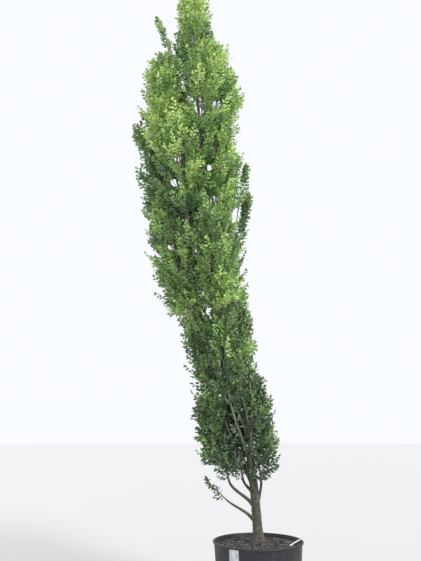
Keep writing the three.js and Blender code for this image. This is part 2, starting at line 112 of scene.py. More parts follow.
rim_foot = pot_height - rim_depth
inside_top = wall_top_radius - pot_wall
# Radius and height of each ring, from the underside up the wall, over the rim and down the inside
pot_profile = [
    (foot_radius - 0.008, 0.0),
    (foot_radius - 0.003, 0.002),
    (wall_radius(0.008), 0.008),
    *hoop(0.060),
    (wall_radius(0.2), 0.2),
    *hoop(0.330),
    (wall_radius(0.45), 0.45),
    (wall_radius(rim_foot - 0.004), rim_foot - 0.004),
    (wall_radius(rim_foot) + 0.002, rim_foot),
    (rim_radius - 0.003, rim_foot + 0.0005),
    (rim_radius, rim_foot + 0.003),
    (rim_radius, pot_height - 0.005),
    (rim_radius - 0.0015, pot_height - 0.0015),
    (rim_radius - 0.005, pot_height),
    (inside_top + 0.005, pot_height),
    (inside_top + 0.0015, pot_height - 0.0015),
    (inside_top, pot_height - 0.005),
    (wall_radius(0.3) - pot_wall, 0.3),
    (wall_radius(pot_wall) - pot_wall, pot_wall),
]

deselect_all()
bpy.ops.mesh.primitive_circle_add(vertices=pot_sides, radius=pot_profile[0][0], fill_type="NGON")
pot = bpy.context.object
pot.name = "container"
bpy.ops.object.mode_set(mode="EDIT")
bpy.ops.mesh.select_all(action="SELECT")
raise_rings(pot_profile)
bpy.ops.mesh.select_all(action="SELECT")
bpy.ops.mesh.normals_make_consistent(inside=False)
bpy.ops.object.mode_set(mode="OBJECT")
bpy.ops.object.shade_smooth_by_angle(angle=math.radians(35))


class Paint:
    """A named material with its own Principled shader, and the nodes to pattern it by object place."""

    def __init__(self, name, colour, roughness):
        self.material = bpy.data.materials.new(name)
        self.material.use_nodes = True
        self.nodes = self.material.node_tree.nodes
        self.link = self.material.node_tree.links.new
        self.shader = self.nodes["Principled BSDF"]
        self.shader.inputs["Base Color"].default_value = (*colour, 1)
        self.shader.inputs["Roughness"].default_value = roughness

    def put(self, pattern, place):
        """Lets a pattern drive one of the shader's inputs."""
        self.link(pattern, self.shader.inputs[place])

    def noise(self, scale, detail=4, stretch=(1, 1, 1)):
        """Noise at a scale per metre, stretched along the object's axes."""
        place = self.nodes.new("ShaderNodeTexCoord")
        turn = self.nodes.new("ShaderNodeMapping")
        turn.inputs["Scale"].default_value = stretch
        pattern = self.nodes.new("ShaderNodeTexNoise")
        pattern.inputs["Scale"].default_value = scale
        pattern.inputs["Detail"].default_value = detail
        self.link(place.outputs["Object"], turn.inputs["Vector"])
        self.link(turn.outputs["Vector"], pattern.inputs["Vector"])
        return pattern.outputs["Fac"]

    def ramp(self, factor, steps):
        """Colours at shares of a pattern, from the lowest share up."""
        ramp = self.nodes.new("ShaderNodeValToRGB")
        elements = ramp.color_ramp.elements
        while len(elements) < len(steps):
            elements.new(0.5)
        for element, (share, colour) in zip(elements, steps):
            element.position = share
            element.color = (*colour, 1)
        self.link(factor, ramp.inputs["Fac"])
        return ramp.outputs["Color"]

    def mix(self, factor, first, second):
        """One colour laid over another by a pattern."""
        mix = self.nodes.new("ShaderNodeMix")
        mix.data_type = "RGBA"
        self.link(factor, mix.inputs["Factor"])
        self.link(first, mix.inputs["A"])
        self.link(second, mix.inputs["B"])
        return mix.outputs["Result"]

    def bump(self, height, distance, strength=1.0):
        """A finer relief than the mesh has, from a pattern."""
        bump = self.nodes.new("ShaderNodeBump")
        bump.inputs["Strength"].default_value = strength
        bump.inputs["Distance"].default_value = distance
        self.link(height, bump.inputs["Height"])
        self.put(bump.outputs["Normal"], "Normal")


def grey(value):
    return (value, value, value)


paint = Paint("dusty_black_plastic", (0.03, 0.028, 0.034), 0.5)
cloudy = paint.noise(7, 6)
streaks = paint.noise(22, 5, (1, 1, 0.16))
plastic_colour = paint.ramp(cloudy, [(0.35, (0.0105, 0.0105, 0.013)), (0.7, (0.022, 0.022, 0.027))])
dust = paint.ramp(streaks, [(0.48, grey(0)), (0.75, grey(0.55))])
dust_colour = paint.ramp(cloudy, [(0.3, (0.039, 0.039, 0.042)), (0.8, (0.068, 0.067, 0.068))])
paint.put(paint.mix(dust, plastic_colour, dust_colour), "Base Color")
paint.put(paint.ramp(streaks, [(0.35, grey(0.42)), (0.75, grey(0.78))]), "Roughness")
paint.bump(paint.noise(260, 3), 0.0006, 0.35)
pot.data.materials.append(paint.material)

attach(pot, "root")
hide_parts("pot")


# Potting mix
# Composted bark, dark and moist, filled to just under the rim and mounded a little round the trunk. It
# fills the tub to its floor, and loose chips and straw lie on its top.

soil_edge = 0.546
soil_top = 0.564
soil_flat_radius = 0.095
soil_lump = 0.009
soil_waves = (0.061, 0.047)
soil_rings = 26
soil_sides = 112
gap = 0.0003
level_radius = 0.06
level_fade = 0.03
wall_fade = 0.02
# Coarse and fine crumbs: how many to a metre, where in the noise and how high
crumb_kinds = [(38, 1.7, 0.0050), (120, 5.1, 0.0030)]


def inner_radius(height):
    return wall_radius(height) - pot_wall


def soil_height(x, y):
    """The mix's height at a place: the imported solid's formula."""
    outward = (math.hypot(x, y) - soil_flat_radius) / (inner_radius(soil_top) - soil_flat_radius)
    share = min(max(outward, 0), 1)
    lump = math.sin(math.pi * share) * math.sin(x / soil_waves[0] + 1) * math.cos(y / soil_waves[1])
    return soil_top + (soil_edge - soil_top) * share + soil_lump * lump


def crumbs(x, y):
    """Fine relief of the mix's top, level round the trunk's foot and at the wall."""
    reach = math.hypot(x, y)
    fade = min(max((reach - level_radius) / level_fade, 0), 1)
    fade *= min(max((inner_radius(soil_edge) - reach) / wall_fade, 0), 1)
    return fade * sum(height * noise.noise(Vector((x * scale, y * scale, place)))
                      for scale, place, height in crumb_kinds)


deselect_all()
mix_radius = inner_radius(soil_edge) - gap
bpy.ops.mesh.primitive_circle_add(
    vertices=soil_sides, radius=mix_radius, fill_type="NGON", location=(0, 0, soil_edge))
mix = bpy.context.object
mix.name = "potting_mix_fill"
bpy.ops.object.transform_apply(location=True)
bpy.ops.object.mode_set(mode="EDIT")
bpy.ops.mesh.select_all(action="SELECT")
for ring in range(soil_rings):
    bpy.ops.mesh.inset(thickness=mix_radius / (soil_rings + 1))
bpy.ops.mesh.poke()
bpy.ops.mesh.select_all(action="DESELECT")
bpy.ops.mesh.select_non_manifold()
bpy.ops.mesh.extrude_edges_move(TRANSFORM_OT_translate={"value": (0, 0, pot_wall + gap - soil_edge)})
floor_share = (inner_radius(pot_wall) - 2 * gap) / mix_radius
bpy.ops.transform.resize(value=(floor_share, floor_share, 1), center_override=(0, 0, pot_wall))
bpy.ops.mesh.edge_face_add()
bpy.ops.mesh.select_all(action="SELECT")
bpy.ops.mesh.normals_make_consistent(inside=False)
bpy.ops.object.mode_set(mode="OBJECT")
for vertex in mix.data.vertices:
    x, y, z = vertex.co
    if z > soil_edge - 0.01:
        vertex.co.z = soil_height(x, y) + crumbs(x, y)
bpy.ops.object.shade_smooth_by_angle(angle=math.radians(60))

paint = Paint("moist_bark_mix", (0.05, 0.04, 0.035), 0.92)
grains = paint.noise(190, 8)
patches = paint.noise(16, 4)
mix_dark = paint.ramp(grains, [(0.30, (0.013, 0.012, 0.013)), (0.55, (0.040, 0.035, 0.036)),
                               (0.78, (0.086, 0.074, 0.071))])
mix_grey = paint.ramp(grains, [(0.30, (0.020, 0.020, 0.023)), (0.8, (0.098, 0.095, 0.101))])
paint.put(paint.mix(patches, mix_dark, mix_grey), "Base Color")
paint.bump(grains, 0.006, 0.8)
mix.data.materials.append(paint.material)

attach(mix, "root")
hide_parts("potting_mix")


# Bark chips and straw
# Loose flakes of bark from 8 to 40 mm long and a few pale straws and dry leaf bits, lying where they
# fell on the mix. One flake of a few faces is shaped once, and the rest are copies of it.

chip_count = 1500
straw_count = 90
chip_seed = 11
chip_roundness = 0.55
# A chip's shortest, longest and commonest length, its width as a share of that, its thickness, and how far
# it tilts lengthwise and sideways
chip_lengths = (0.008, 0.040, 0.014)
chip_widths = (0.35, 0.75)
chip_thicknesses = (0.0025, 0.007)
chip_slopes = (0.22, 0.28)
straw_lengths = (0.020, 0.055)
straw_width = 0.0022
chip_lift = 0.001
straw_lift = 0.003
spread_share = 0.985
clear_of_trunk = 0.085
clear_of_wall = 0.002
tone_shares = [5, 4, 3, 1]
straw_tone = len(tone_shares)

deselect_all()
bpy.ops.mesh.primitive_cube_add(size=1)
flake = bpy.context.object
flake.name = "bark_chips"
bpy.ops.object.mode_set(mode="EDIT")
bpy.ops.mesh.select_all(action="SELECT")
bpy.ops.mesh.subdivide(number_cuts=1)
bpy.ops.transform.tosphere(value=chip_roundness)
bpy.ops.mesh.quads_convert_to_tris()
bpy.ops.object.mode_set(mode="OBJECT")


def copies_of(piece, placements):
    """Joins copies of a piece's mesh: each placement is a 3 by 3 turn, a place and a material's number."""
    mesh = piece.data
    corners = np.array([v.co for v in mesh.vertices])
    faces = [list(p.vertices) for p in mesh.polygons]
    turns = np.array([p[0] for p in placements])
    places = np.array([p[1] for p in placements])
    everywhere = np.einsum("nij,vj->nvi", turns, corners) + places[:, None, :]
    count = len(corners)
    all_faces = [[v + i * count for v in face] for i in range(len(placements)) for face in faces]
    joined = bpy.data.meshes.new(piece.name)
    joined.from_pydata(everywhere.reshape(-1, 3).tolist(), [], all_faces)
    joined.polygons.foreach_set("material_index", np.repeat([p[2] for p in placements], len(faces)))
    piece.data = joined
    bpy.data.meshes.remove(mesh)


def turn_matrix(along, up):
    """Columns: along, across and up, squared to each other."""
    along = along.normalized()
    across = up.cross(along).normalized()
    return np.array([along, across, along.cross(across)]).T


rng = random.Random(chip_seed)
placements = []
while len(placements) < chip_count + straw_count:
    is_straw = len(placements) >= chip_count
    reach = mix_radius * math.sqrt(rng.random()) * spread_share
    angle = rng.uniform(0, math.tau)
    x, y = reach * math.cos(angle), reach * math.sin(angle)
    along = Vector((rng.gauss(0, 1), rng.gauss(0, 1), rng.gauss(0, chip_slopes[0])))
    up = Vector((rng.gauss(0, chip_slopes[1]), rng.gauss(0, chip_slopes[1]), 1))
    length = rng.uniform(*straw_lengths) if is_straw else rng.triangular(*chip_lengths)
    width = straw_width if is_straw else length * rng.uniform(*chip_widths)
    if math.hypot(x, y) < clear_of_trunk or math.hypot(x, y) + length / 2 > mix_radius - clear_of_wall:
        continue
    size = np.diag([length, width, straw_width if is_straw else rng.uniform(*chip_thicknesses)])
    place = (x, y, soil_height(x, y) + crumbs(x, y) + (straw_lift if is_straw else chip_lift))
    tone = straw_tone if is_straw else rng.choices(range(straw_tone), tone_shares)[0]
    placements.append((turn_matrix(along, up) @ size, place, tone))
copies_of(flake, placements)

for name, colour in (("chip_dark", (0.022, 0.020, 0.021)), ("chip_brown", (0.047, 0.039, 0.037)),
                     ("chip_grey", (0.083, 0.081, 0.086)), ("chip_ochre", (0.125, 0.103, 0.084)),
                     ("straw", (0.34, 0.32, 0.28))):
    paint = Paint(name, colour, 0.9)
    fibres = paint.noise(240, 5)
    low, high = [c * 0.65 for c in colour], [min(c * 1.45, 1) for c in colour]
    paint.put(paint.ramp(fibres, [(0.35, low), (0.7, high)]), "Base Color")
    paint.bump(fibres, 0.0015, 0.6)
    flake.data.materials.append(paint.material)

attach(flake, "root")


# Blank label
# A thin white plastic card, 100 by 130 mm with rounded corners, that follows the wall just under the
# rim. It is blank, a little grey with dust, and its lower corners have lifted a hair.

label_turn = math.radians(234)
label_width = 0.100
label_height = 0.130
label_top = rim_foot - 0.002
label_thickness = 0.0016
label_corner = 0.009
label_gap = 0.0004
label_bevel = 0.0004
label_lift = 0.0012


def thicken(sheet, thickness):
    """Gives the active sheet its thickness on its upper or outer side."""
    modifier = sheet.modifiers.new("thickness", "SOLIDIFY")
    modifier.thickness = thickness
    modifier.offset = 1
    bpy.ops.object.modifier_apply(modifier="thickness")


deselect_all()
bpy.ops.mesh.primitive_grid_add(x_subdivisions=24, y_subdivisions=30, size=1)
label = bpy.context.object
label.name = "label_card"
bpy.ops.object.mode_set(mode="EDIT")
bpy.ops.transform.resize(value=(label_width, label_height, 1))
bpy.ops.object.mode_set(mode="OBJECT")
for vertex in label.data.vertices:
    x, y, _ = vertex.co
    over_x = max(abs(x) - (label_width / 2 - label_corner), 0)
    over_y = max(abs(y) - (label_height / 2 - label_corner), 0)
    if over_x and over_y:
        scale = max(over_x, over_y) / math.hypot(over_x, over_y)
        x = math.copysign(label_width / 2 - label_corner + over_x * scale, x)
        y = math.copysign(label_height / 2 - label_corner + over_y * scale, y)
    height = label_top - label_height / 2 + y
    lift = label_lift * max(-y / label_height, 0) * (2 * x / label_width) ** 2
    reach = wall_radius(height) + label_gap + lift
    turn = label_turn + x / reach
    vertex.co = (reach * math.cos(turn), reach * math.sin(turn), height)
thicken(label, label_thickness)
round_off = label.modifiers.new("edges", "BEVEL")
round_off.width = label_bevel
round_off.segments = 2
bpy.ops.object.modifier_apply(modifier="edges")
bpy.ops.object.shade_smooth_by_angle(angle=math.radians(40))

paint = Paint("dusty_white_plastic", (0.62, 0.63, 0.65), 0.5)
smears = paint.noise(34, 6, (1, 1, 0.5))
paint.put(paint.ramp(smears, [(0.35, (0.36, 0.37, 0.385)), (0.62, (0.66, 0.67, 0.68))]), "Base Color")
paint.put(paint.ramp(smears, [(0.3, grey(0.7)), (0.7, grey(0.4))]), "Roughness")
paint.bump(paint.noise(300, 2), 0.0003, 0.3)
white_plastic = paint.material
label.data.materials.append(white_plastic)

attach(label, "root")
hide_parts("blank_label")


# Blank tag
# A strip of white plastic, 205 by 22 mm, pulled off the plant and lying slantwise with its foot on the mix
# and its back over the rim. It bows a little and has a punched slot near its far end.

tag_length = 0.205
tag_width = 0.022
tag_turn = math.radians(52)
tag_foot_turn = math.radians(-24)
tag_foot_radius = 0.310
tag_clearance = 0.002
tag_thickness = 0.0012
tag_bow = 0.003
tag_foot_lift = 0.002
tag_curl = 4
# The slot's place along the strip and its half length and half width, and how the far end narrows
tag_slot = (0.42, 0.007, 0.002)
tag_end_from = 0.92
tag_end_share = 0.08
tag_end_narrows = 0.55
tag_heading = Vector((math.cos(tag_turn), math.sin(tag_turn)))
tag_aside = Vector((-tag_heading.y, tag_heading.x))
tag_foot = tag_foot_radius * Vector((math.cos(tag_foot_turn), math.sin(tag_foot_turn)))
tag_edge = tag_foot - tag_width / 2 * tag_aside
tag_outward = tag_edge.dot(tag_heading)
tag_chord = tag_outward ** 2 + inner_radius(pot_height) ** 2 - tag_edge.length_squared
tag_to_rim = math.sqrt(tag_chord) - tag_outward
tag_foot_height = soil_height(*tag_foot) + tag_clearance
tag_slope = math.atan2(pot_height + tag_clearance / 2 - tag_foot_height, tag_to_rim)

deselect_all()
bpy.ops.mesh.primitive_grid_add(x_subdivisions=36, y_subdivisions=6, size=1)
tag = bpy.context.object
tag.name = "tag_strip"
bpy.ops.object.mode_set(mode="EDIT")
bpy.ops.transform.resize(value=(tag_length, tag_width, 1))
bpy.ops.mesh.select_mode(type="FACE")
bpy.ops.mesh.select_all(action="DESELECT")
bpy.ops.object.mode_set(mode="OBJECT")
for face in tag.data.polygons:
    x, y, _ = face.center
    face.select = abs(x - tag_length * tag_slot[0]) < tag_slot[1] and abs(y) < tag_slot[2]
bpy.ops.object.mode_set(mode="EDIT")
bpy.ops.mesh.delete(type="FACE")
bpy.ops.object.mode_set(mode="OBJECT")
for vertex in tag.data.vertices:
    x, y, _ = vertex.co
    share = x / tag_length + 0.5
    narrow = 1 - tag_end_narrows * max((share - tag_end_from) / tag_end_share, 0) ** 2
    bow = tag_bow * math.sin(math.pi * share)
    along, up = share * tag_length, gap + tag_foot_lift * (1 - share) + bow + tag_curl * (y * y)
    place = (tag_foot + (along * math.cos(tag_slope) - up * math.sin(tag_slope)) * tag_heading
             + y * narrow * tag_aside)
    vertex.co = (*place, tag_foot_height + along * math.sin(tag_slope) + up * math.cos(tag_slope))
thicken(tag, tag_thickness)
bpy.ops.object.shade_smooth_by_angle(angle=math.radians(40))
tag.data.materials.append(white_plastic)

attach(tag, "root")
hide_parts("blank_tag")


# Trunk
# One living leader, 95 mm thick above its lobed root flare, that leans to the left and thins quickly
# where the boughs leave it. Smooth beech bark: grey-green, mottled, with small knots and dark lenticels.

trunk_line = [(0.010, 0.520), (-0.020, 0.968), (-0.053, 1.287), (-0.100, 1.880), (-0.215, 2.690),
              (-0.400, 3.560), (-0.520, 4.490), (-0.590, 5.250), (-0.640, 6.050), (-0.657, 6.560)]
trunk_top = trunk_line[-1][1]
trunk_sway = 0.022
trunk_sway_height = 0.62
trunk_foot_radius = 0.047
trunk_fork_radius = 0.038
trunk_fork_height = 1.287
trunk_fork_fade = 0.14
leader_foot_radius = 0.019
leader_tip_radius = 0.010
flare = 0.017
flare_fade = 0.060
flare_lobes = 5
flare_lobe_share = 0.45
trunk_sides = 56
# Up to this height the trunk's rings stand close enough for the relief of its bark, and wider above it
close_rings_top = 1.5
close_ring_step = 0.007
wide_ring_step = 0.035
# The bark's relief: how fine each pattern is and how far it stands out, as a share of the limb's radius
fold_scale = 9
fold_height = 0.055
ripple_scales = (45, 45, 130)
ripple_height = 0.020
pit_scale = 60
pit_least = 0.35
pit_depth = 0.06
bump_scale = 16
bump_least = 0.52
bump_height = 0.9
bump_place = Vector((7, 3, 1))


def centripetal_curve(points, steps):
    """Points along a centripetal Catmull-Rom curve, with `steps` to each span."""
    points = [2 * points[0] - points[1], *points, 2 * points[-1] - points[-2]]
    found = []
    for a, b, c, d in zip(points, points[1:], points[2:], points[3:]):
        gaps = [max(np.linalg.norm(q - p), 1e-9) ** 0.5 for p, q in ((a, b), (b, c), (c, d))]
        leave = ((b - a) / gaps[0] - (c - a) / (gaps[0] + gaps[1]) + (c - b) / gaps[1]) * gaps[1]
        arrive = ((c - b) / gaps[1] - (d - b) / (gaps[1] + gaps[2]) + (d - c) / gaps[2]) * gaps[1]
        for t in np.arange(steps) / steps:
            curve = (2 * b - 2 * c + leave + arrive) * t ** 3
            curve += (3 * c - 3 * b - 2 * leave - arrive) * t ** 2
            found.append(curve + leave * t + b)
    return np.array([*found, points[-2]])


def step(value, low, high):
    """A smooth step from 0 at low to 1 at high."""
    share = min(max((value - low) / (high - low), 0), 1)
    return share * share * (3 - 2 * share)


def between(low, high, share):
    return low + (high - low) * share


def trunk_radius(height):
    share = (height - soil_top) / (trunk_fork_height - soil_top)
    low = between(trunk_foot_radius, trunk_fork_radius, share)
    up_leader = (height - trunk_fork_height) / (trunk_top - trunk_fork_height)
    high = between(leader_foot_radius, leader_tip_radius, up_leader)
    return between(low, high, step(height, trunk_fork_height, trunk_fork_height + trunk_fork_fade))


trunk_points = centripetal_curve([
    np.array([x, trunk_sway * math.sin(z / trunk_sway_height) * z / trunk_top, z])
    for x, z in trunk_line], 60)


def trunk_at(height):
    """The middle of the trunk at a height, and which way it points there."""
    at, above = (np.array([np.interp(level, trunk_points[:, 2], trunk_points[:, axis]) for axis in range(3)])
                 for level in (height, height + 0.01))
    return Vector(at), Vector(above - at).normalized()


def tube_along(name, points, radii, sides):
    """A closed tapering tube along a line of points, drawn as a bevelled curve and made a mesh."""
    deselect_all()
    curve = bpy.data.curves.new(name, "CURVE")
    curve.dimensions = "3D"
    curve.bevel_depth = 1
    curve.bevel_resolution = max(sides // 2 - 2, 0)
    curve.use_fill_caps = True
    line = curve.splines.new("POLY")
    line.points.add(len(points) - 1)
    line.points.foreach_set("co", np.column_stack([points, np.ones(len(points))]).ravel())
    line.points.foreach_set("radius", np.asarray(radii, float))
    tube = bpy.data.objects.new(name, curve)
    bpy.context.scene.collection.objects.link(tube)
    tube.select_set(True)
    bpy.context.view_layer.objects.active = tube
    bpy.ops.object.convert(target="MESH")
    return bpy.context.object


def bark_relief(point, radius):
    """How far the bark stands out at a point: soft folds along the limb, ripples, pits and small bumps."""
    folds = noise.noise(point * fold_scale) * fold_height * radius
    rippled = Vector([share * scale for share, scale in zip(point, ripple_scales)])
    ripples = noise.noise(rippled) * ripple_height * radius
    pits = max(noise.noise(point * pit_scale) - pit_least, 0) * pit_depth * radius
    bumps = max(noise.noise(point * bump_scale + bump_place) - bump_least, 0) * bump_height * radius
    return folds + ripples - pits + bumps


def shape_bark(piece, points, extra=None):
    """Moves each vertex of a limb out or in from its middle line by the bark's relief."""
    middle_line = np.asarray(points)
    places = np.array([v.co for v in piece.data.vertices])
    for vertex, place in zip(piece.data.vertices, places):
        middle = middle_line[np.argmin(((middle_line - place) ** 2).sum(1))]
        outward = Vector(place - middle)
        radius = outward.length
        if radius < 1e-6:
            continue
        out = bark_relief(vertex.co, radius)
        if extra:
            out += extra(place, outward)
        vertex.co += outward.normalized() * out
    piece.data.update()


ring_heights = np.concatenate([
    np.arange(soil_top + 0.0004, close_rings_top, close_ring_step),
    np.arange(close_rings_top, trunk_top, wide_ring_step), [trunk_top]])
trunk_middle = np.array([trunk_at(h)[0] for h in ring_heights])
trunk = tube_along("trunk_bark", trunk_middle, [trunk_radius(h) for h in ring_heights], trunk_sides)


def root_flare(place, outward):
    fade = math.exp(-max(place[2] - soil_top, 0) / flare_fade)
    lobes = math.cos(flare_lobes * math.atan2(outward.x, outward.y))
    return flare * fade * (1 + flare_lobe_share * lobes)


# Healed stubs of cut branches: height, turn in degrees round the trunk and width of each
trunk_knots = [(0.606, 275, 0.030), (0.742, 208, 0.022), (0.815, 318, 0.026), (0.700, 70, 0.024),
               (0.905, 285, 0.020), (1.020, 150, 0.022), (1.130, 300, 0.018)]
# Their ring and eye, as shares of that width: height or depth, where the ring swells most, and softness
knot_ring = (0.16, 0.9, 0.45)
knot_eye = (0.14, 0.5)
knot_tallness = 0.8


def knot_relief(place, outward):
    """A swollen ring with a sunken eye round each healed stub, over the root flare."""
    out = root_flare(place, outward)
    for height, turn, width in trunk_knots:
        middle, _ = trunk_at(height)
        facing = Vector((math.cos(math.radians(turn)), math.sin(math.radians(turn)), 0))
        if outward.dot(facing) < 0:
            continue
        aside = outward - outward.dot(facing) * facing
        away = math.hypot(aside.x, aside.y, (place[2] - height) * knot_tallness) / (width / 2)
        ring = knot_ring[0] * math.exp(-((away - knot_ring[1]) / knot_ring[2]) ** 2)
        out += width * (ring - knot_eye[0] * math.exp(-(away / knot_eye[1]) ** 2))
    return out


shape_bark(trunk, trunk_middle, knot_relief)
for vertex in trunk.data.vertices:
    vertex.co.z = max(vertex.co.z, soil_top + gap)
bpy.ops.object.shade_smooth()

paint = Paint("beech_bark", (0.15, 0.15, 0.10), 0.8)
mottle = paint.noise(26, 8)
lichen = paint.noise(75, 6)
spots = paint.noise(62, 5, (1, 1, 1.5))
bark_green = paint.ramp(mottle, [(0.30, (0.028, 0.034, 0.018)), (0.52, (0.068, 0.077, 0.041)),
                                 (0.74, (0.148, 0.157, 0.092))])
bark_grey = paint.ramp(mottle, [(0.30, (0.039, 0.041, 0.032)), (0.75, (0.130, 0.131, 0.107))])
bark_colour = paint.mix(paint.ramp(lichen, [(0.42, grey(0)), (0.60, grey(1))]), bark_green, bark_grey)

# How far up from the mix the bark is browner, and the heights between which it turns pale with painted light
foot_colour_height = 0.17
pale_heights = (1.25, 3.10)


def by_height(paint, low, high, most):
    """A share that grows from nothing at one height to its most at another."""
    place = paint.nodes.new("ShaderNodeTexCoord")
    split_place = paint.nodes.new("ShaderNodeSeparateXYZ")
    share = paint.nodes.new("ShaderNodeMapRange")
    share.inputs["From Min"].default_value = low
    share.inputs["From Max"].default_value = high
    share.inputs["To Max"].default_value = most
    paint.link(place.outputs["Object"], split_place.inputs["Vector"])
    paint.link(split_place.outputs["Z"], share.inputs["Value"])
    return share.outputs["Result"]


foot_colour = paint.ramp(mottle, [(0.30, (0.054, 0.045, 0.043)), (0.75, (0.150, 0.128, 0.120))])
# Painted light: the bark is paler higher up in the crown
painted_light_colour = paint.ramp(mottle, [(0.30, (0.380, 0.395, 0.300)), (0.75, (0.640, 0.655, 0.540))])
at_foot = by_height(paint, soil_top + foot_colour_height, soil_top, 0.75)
bark_colour = paint.mix(at_foot, bark_colour, foot_colour)
spot_mask = paint.ramp(spots, [(0.55, grey(0)), (0.62, grey(0.85))])
spot_colour = paint.ramp(lichen, [(0.3, (0.020, 0.020, 0.015)), (0.8, (0.050, 0.046, 0.035))])
low_colour = paint.mix(spot_mask, bark_colour, spot_colour)
painted_light_share = by_height(paint, *pale_heights, 0.95)
paint.put(paint.mix(painted_light_share, low_colour, painted_light_colour), "Base Color")
paint.bump(lichen, 0.003, 0.5)
beech_bark = paint.material
trunk.data.materials.append(beech_bark)

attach(trunk, "root")
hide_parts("trunk")


# Boughs
# Steep limbs that leave the trunk at a narrow fork with a swollen collar, bend upright and end as the stem
# of their own mass of leaves. They have the trunk's bark.

# The middle of the crown: sideways place at each height
crown_line = [(-0.090, 0.950), (-0.175, 1.500), (-0.270, 2.050), (-0.345, 2.500), (-0.520, 3.000),
              (-0.605, 3.500), (-0.655, 4.200), (-0.690, 4.850), (-0.640, 5.500), (-0.640, 6.100),
              (-0.650, 7.120)]

# Each tier: middle height, distance out, half width, half height, then its masses by place, each with its
# turn in degrees, where its bough leaves the trunk, how far that spreads, and to which side if not its own
tiers = {
    "lowest": (1.550, 0.190, 0.205, 0.490, {
        "left": (186, 0.865, 0.6), "back": (95, 0.940, 0.6), "right": (14, 0.890, 0.5)}),
    "lower": (2.310, 0.155, 0.210, 0.640, {
        "left": (182, 1.060, 0.45), "front": (262, 1.150, 0.45), "back": (95, 1.110, 0.45)}),
    "middle": (3.280, 0.250, 0.290, 0.640, {
        "front_left": (214, 1.450, 0.25), "front_right": (303, 1.340, 0.2),
        "back_right": (36, 1.260, 0.25), "back_left": (123, 1.560, 0.25)}),
    "upper": (4.160, 0.280, 0.305, 0.660, {
        "left": (166, 2.080, 0.35), "front": (256, 2.240, 0.35, 235),
        "right": (341, 2.420, 0.35), "back": (77, 2.580, 0.35, 115)}),
    "shoulder": (5.050, 0.295, 0.310, 0.650, {
        "front_left": (210, 3.250, 0.4), "front_right": (300, 3.760, 0.4, 255),
        "back_right": (28, 3.560, 0.4), "back_left": (120, 3.660, 0.4)}),
    "spire": (6.080, 0.085, 0.175, 0.610, {
        "front": (255, 5.000, 0.4), "back": (75, 5.130, 0.4)}),
}
# How far a mass stands above or below its tier
lifts = {"shoulder_front_left": -0.040, "shoulder_front_right": 0.060, "shoulder_back_left": -0.170}
# Lone shoots: foot and tip as sideways place and height, depth, half width, where the bough leaves, and how
# far apart the twigs stand against those of a full mass
shoots = {
    "low": ((-0.285, 0.940), (-0.500, 1.135), -0.050, 0.090, 0.720, 1.6),
    "inner_right": ((0.015, 1.580), (-0.200, 2.960), -0.060, 0.122, 0.985, 1.0),
    "right": ((-0.150, 3.900), (-0.062, 4.390), -0.020, 0.080, 3.140, 0.5),
    "lower_right": ((-0.150, 3.480), (-0.040, 4.130), 0.060, 0.080, 2.680, 0.5),
    "left": ((-1.110, 4.330), (-1.240, 4.930), -0.090, 0.110, 3.400, 0.8),
    "top_left": ((-0.880, 5.800), (-1.085, 6.350), -0.040, 0.080, 5.330, 1.35),
}
spire_sparseness = 1.3
top_half_width = 0.160
axis_sample = 0.1
bough_share = 0.42
bough_least_radius = 0.010
bough_taper = 0.8
bough_sides = 20
bough_ring_step = 0.025
fork_handle = 0.4
foot_handle = 0.28
collar_swelling = 0.35
collar_fade = 0.030
shoot_spread = 0.55
mass_lean = 0.07
space_bluntness = 2.7
top_bluntness = 1.5
# How far sprays may lead past a mass's tip: hardly on the shoulders that end squarely in the outline
leading_reach = 0.12
shoulder_leading_reach = 0.02
leading_least_width = 0.17
full_width = 0.2
space_squat = 0.42
space_gap = 0.003
stem_foot_radius = 0.011
stem_shares = np.arange(-0.9, 0.901, 0.01)
slim_half_width = 0.120
slim_share = 0.7


def crown_at(height):
    xs, zs = zip(*crown_line)
    return np.array([np.interp(height, zs, xs), 0.0, height])


def unit(vector):
    return vector / np.linalg.norm(vector)


spaces = {}
for tier, (middle, out, half_width, half_height, masses) in tiers.items():
    for place, (turn, leaves_at, spread, *leaving) in masses.items():
        height = middle + lifts.get(f"{tier}_{place}", 0)
        outward = np.array([math.cos(math.radians(turn)), math.sin(math.radians(turn)), 0])
        upward = unit(crown_at(height + axis_sample) - crown_at(height - axis_sample))
        axis = unit(upward + mass_lean * outward)
        side = math.radians(leaving[0] if leaving else turn)
        spaces[f"{tier}_{place}"] = {
            "centre": crown_at(height) + out * outward, "axis": axis,
            "width": half_width, "height": half_height,
            "bough": (leaves_at, spread, Vector((math.cos(side), math.sin(side), 0))),
            "sparse": spire_sparseness if tier == "spire" else 1.0}
for name, (foot, tip, depth, half_width, leaves_at, sparse) in shoots.items():
    low, high = np.array([foot[0], depth, foot[1]]), np.array([tip[0], depth, tip[1]])
    spaces[f"{name}_shoot"] = {
        "centre": (low + high) / 2, "axis": unit(high - low), "width": half_width,
        "height": np.linalg.norm(high - low) / 2,
        "bough": (leaves_at, shoot_spread, None), "sparse": sparse}
foot, tip = np.array([trunk_line[-1][0], 0, trunk_top]), np.array([crown_line[-1][0], 0, crown_line[-1][1]])
spaces["top"] = {"centre": (foot + tip) / 2, "axis": unit(tip - foot), "width": top_half_width,
                 "height": np.linalg.norm(tip - foot) / 2, "bough": None, "sparse": 1.0}

names = list(spaces)
centres, axes = (np.array([spaces[name][key] for name in names]) for key in ("centre", "axis"))
widths, heights_half = (np.array([spaces[name][key] for name in names]) for key in ("width", "height"))
squat = np.array([1, 1, space_squat])
square_shoulders = ("shoulder_front_left", "shoulder_front_right", "shoulder_back_right")
leading = np.where([name in square_shoulders for name in names], shoulder_leading_reach, leading_reach)
leading = leading * (widths > leading_least_width)
bluntness = np.where(np.array(names) == "top", top_bluntness, space_bluntness)


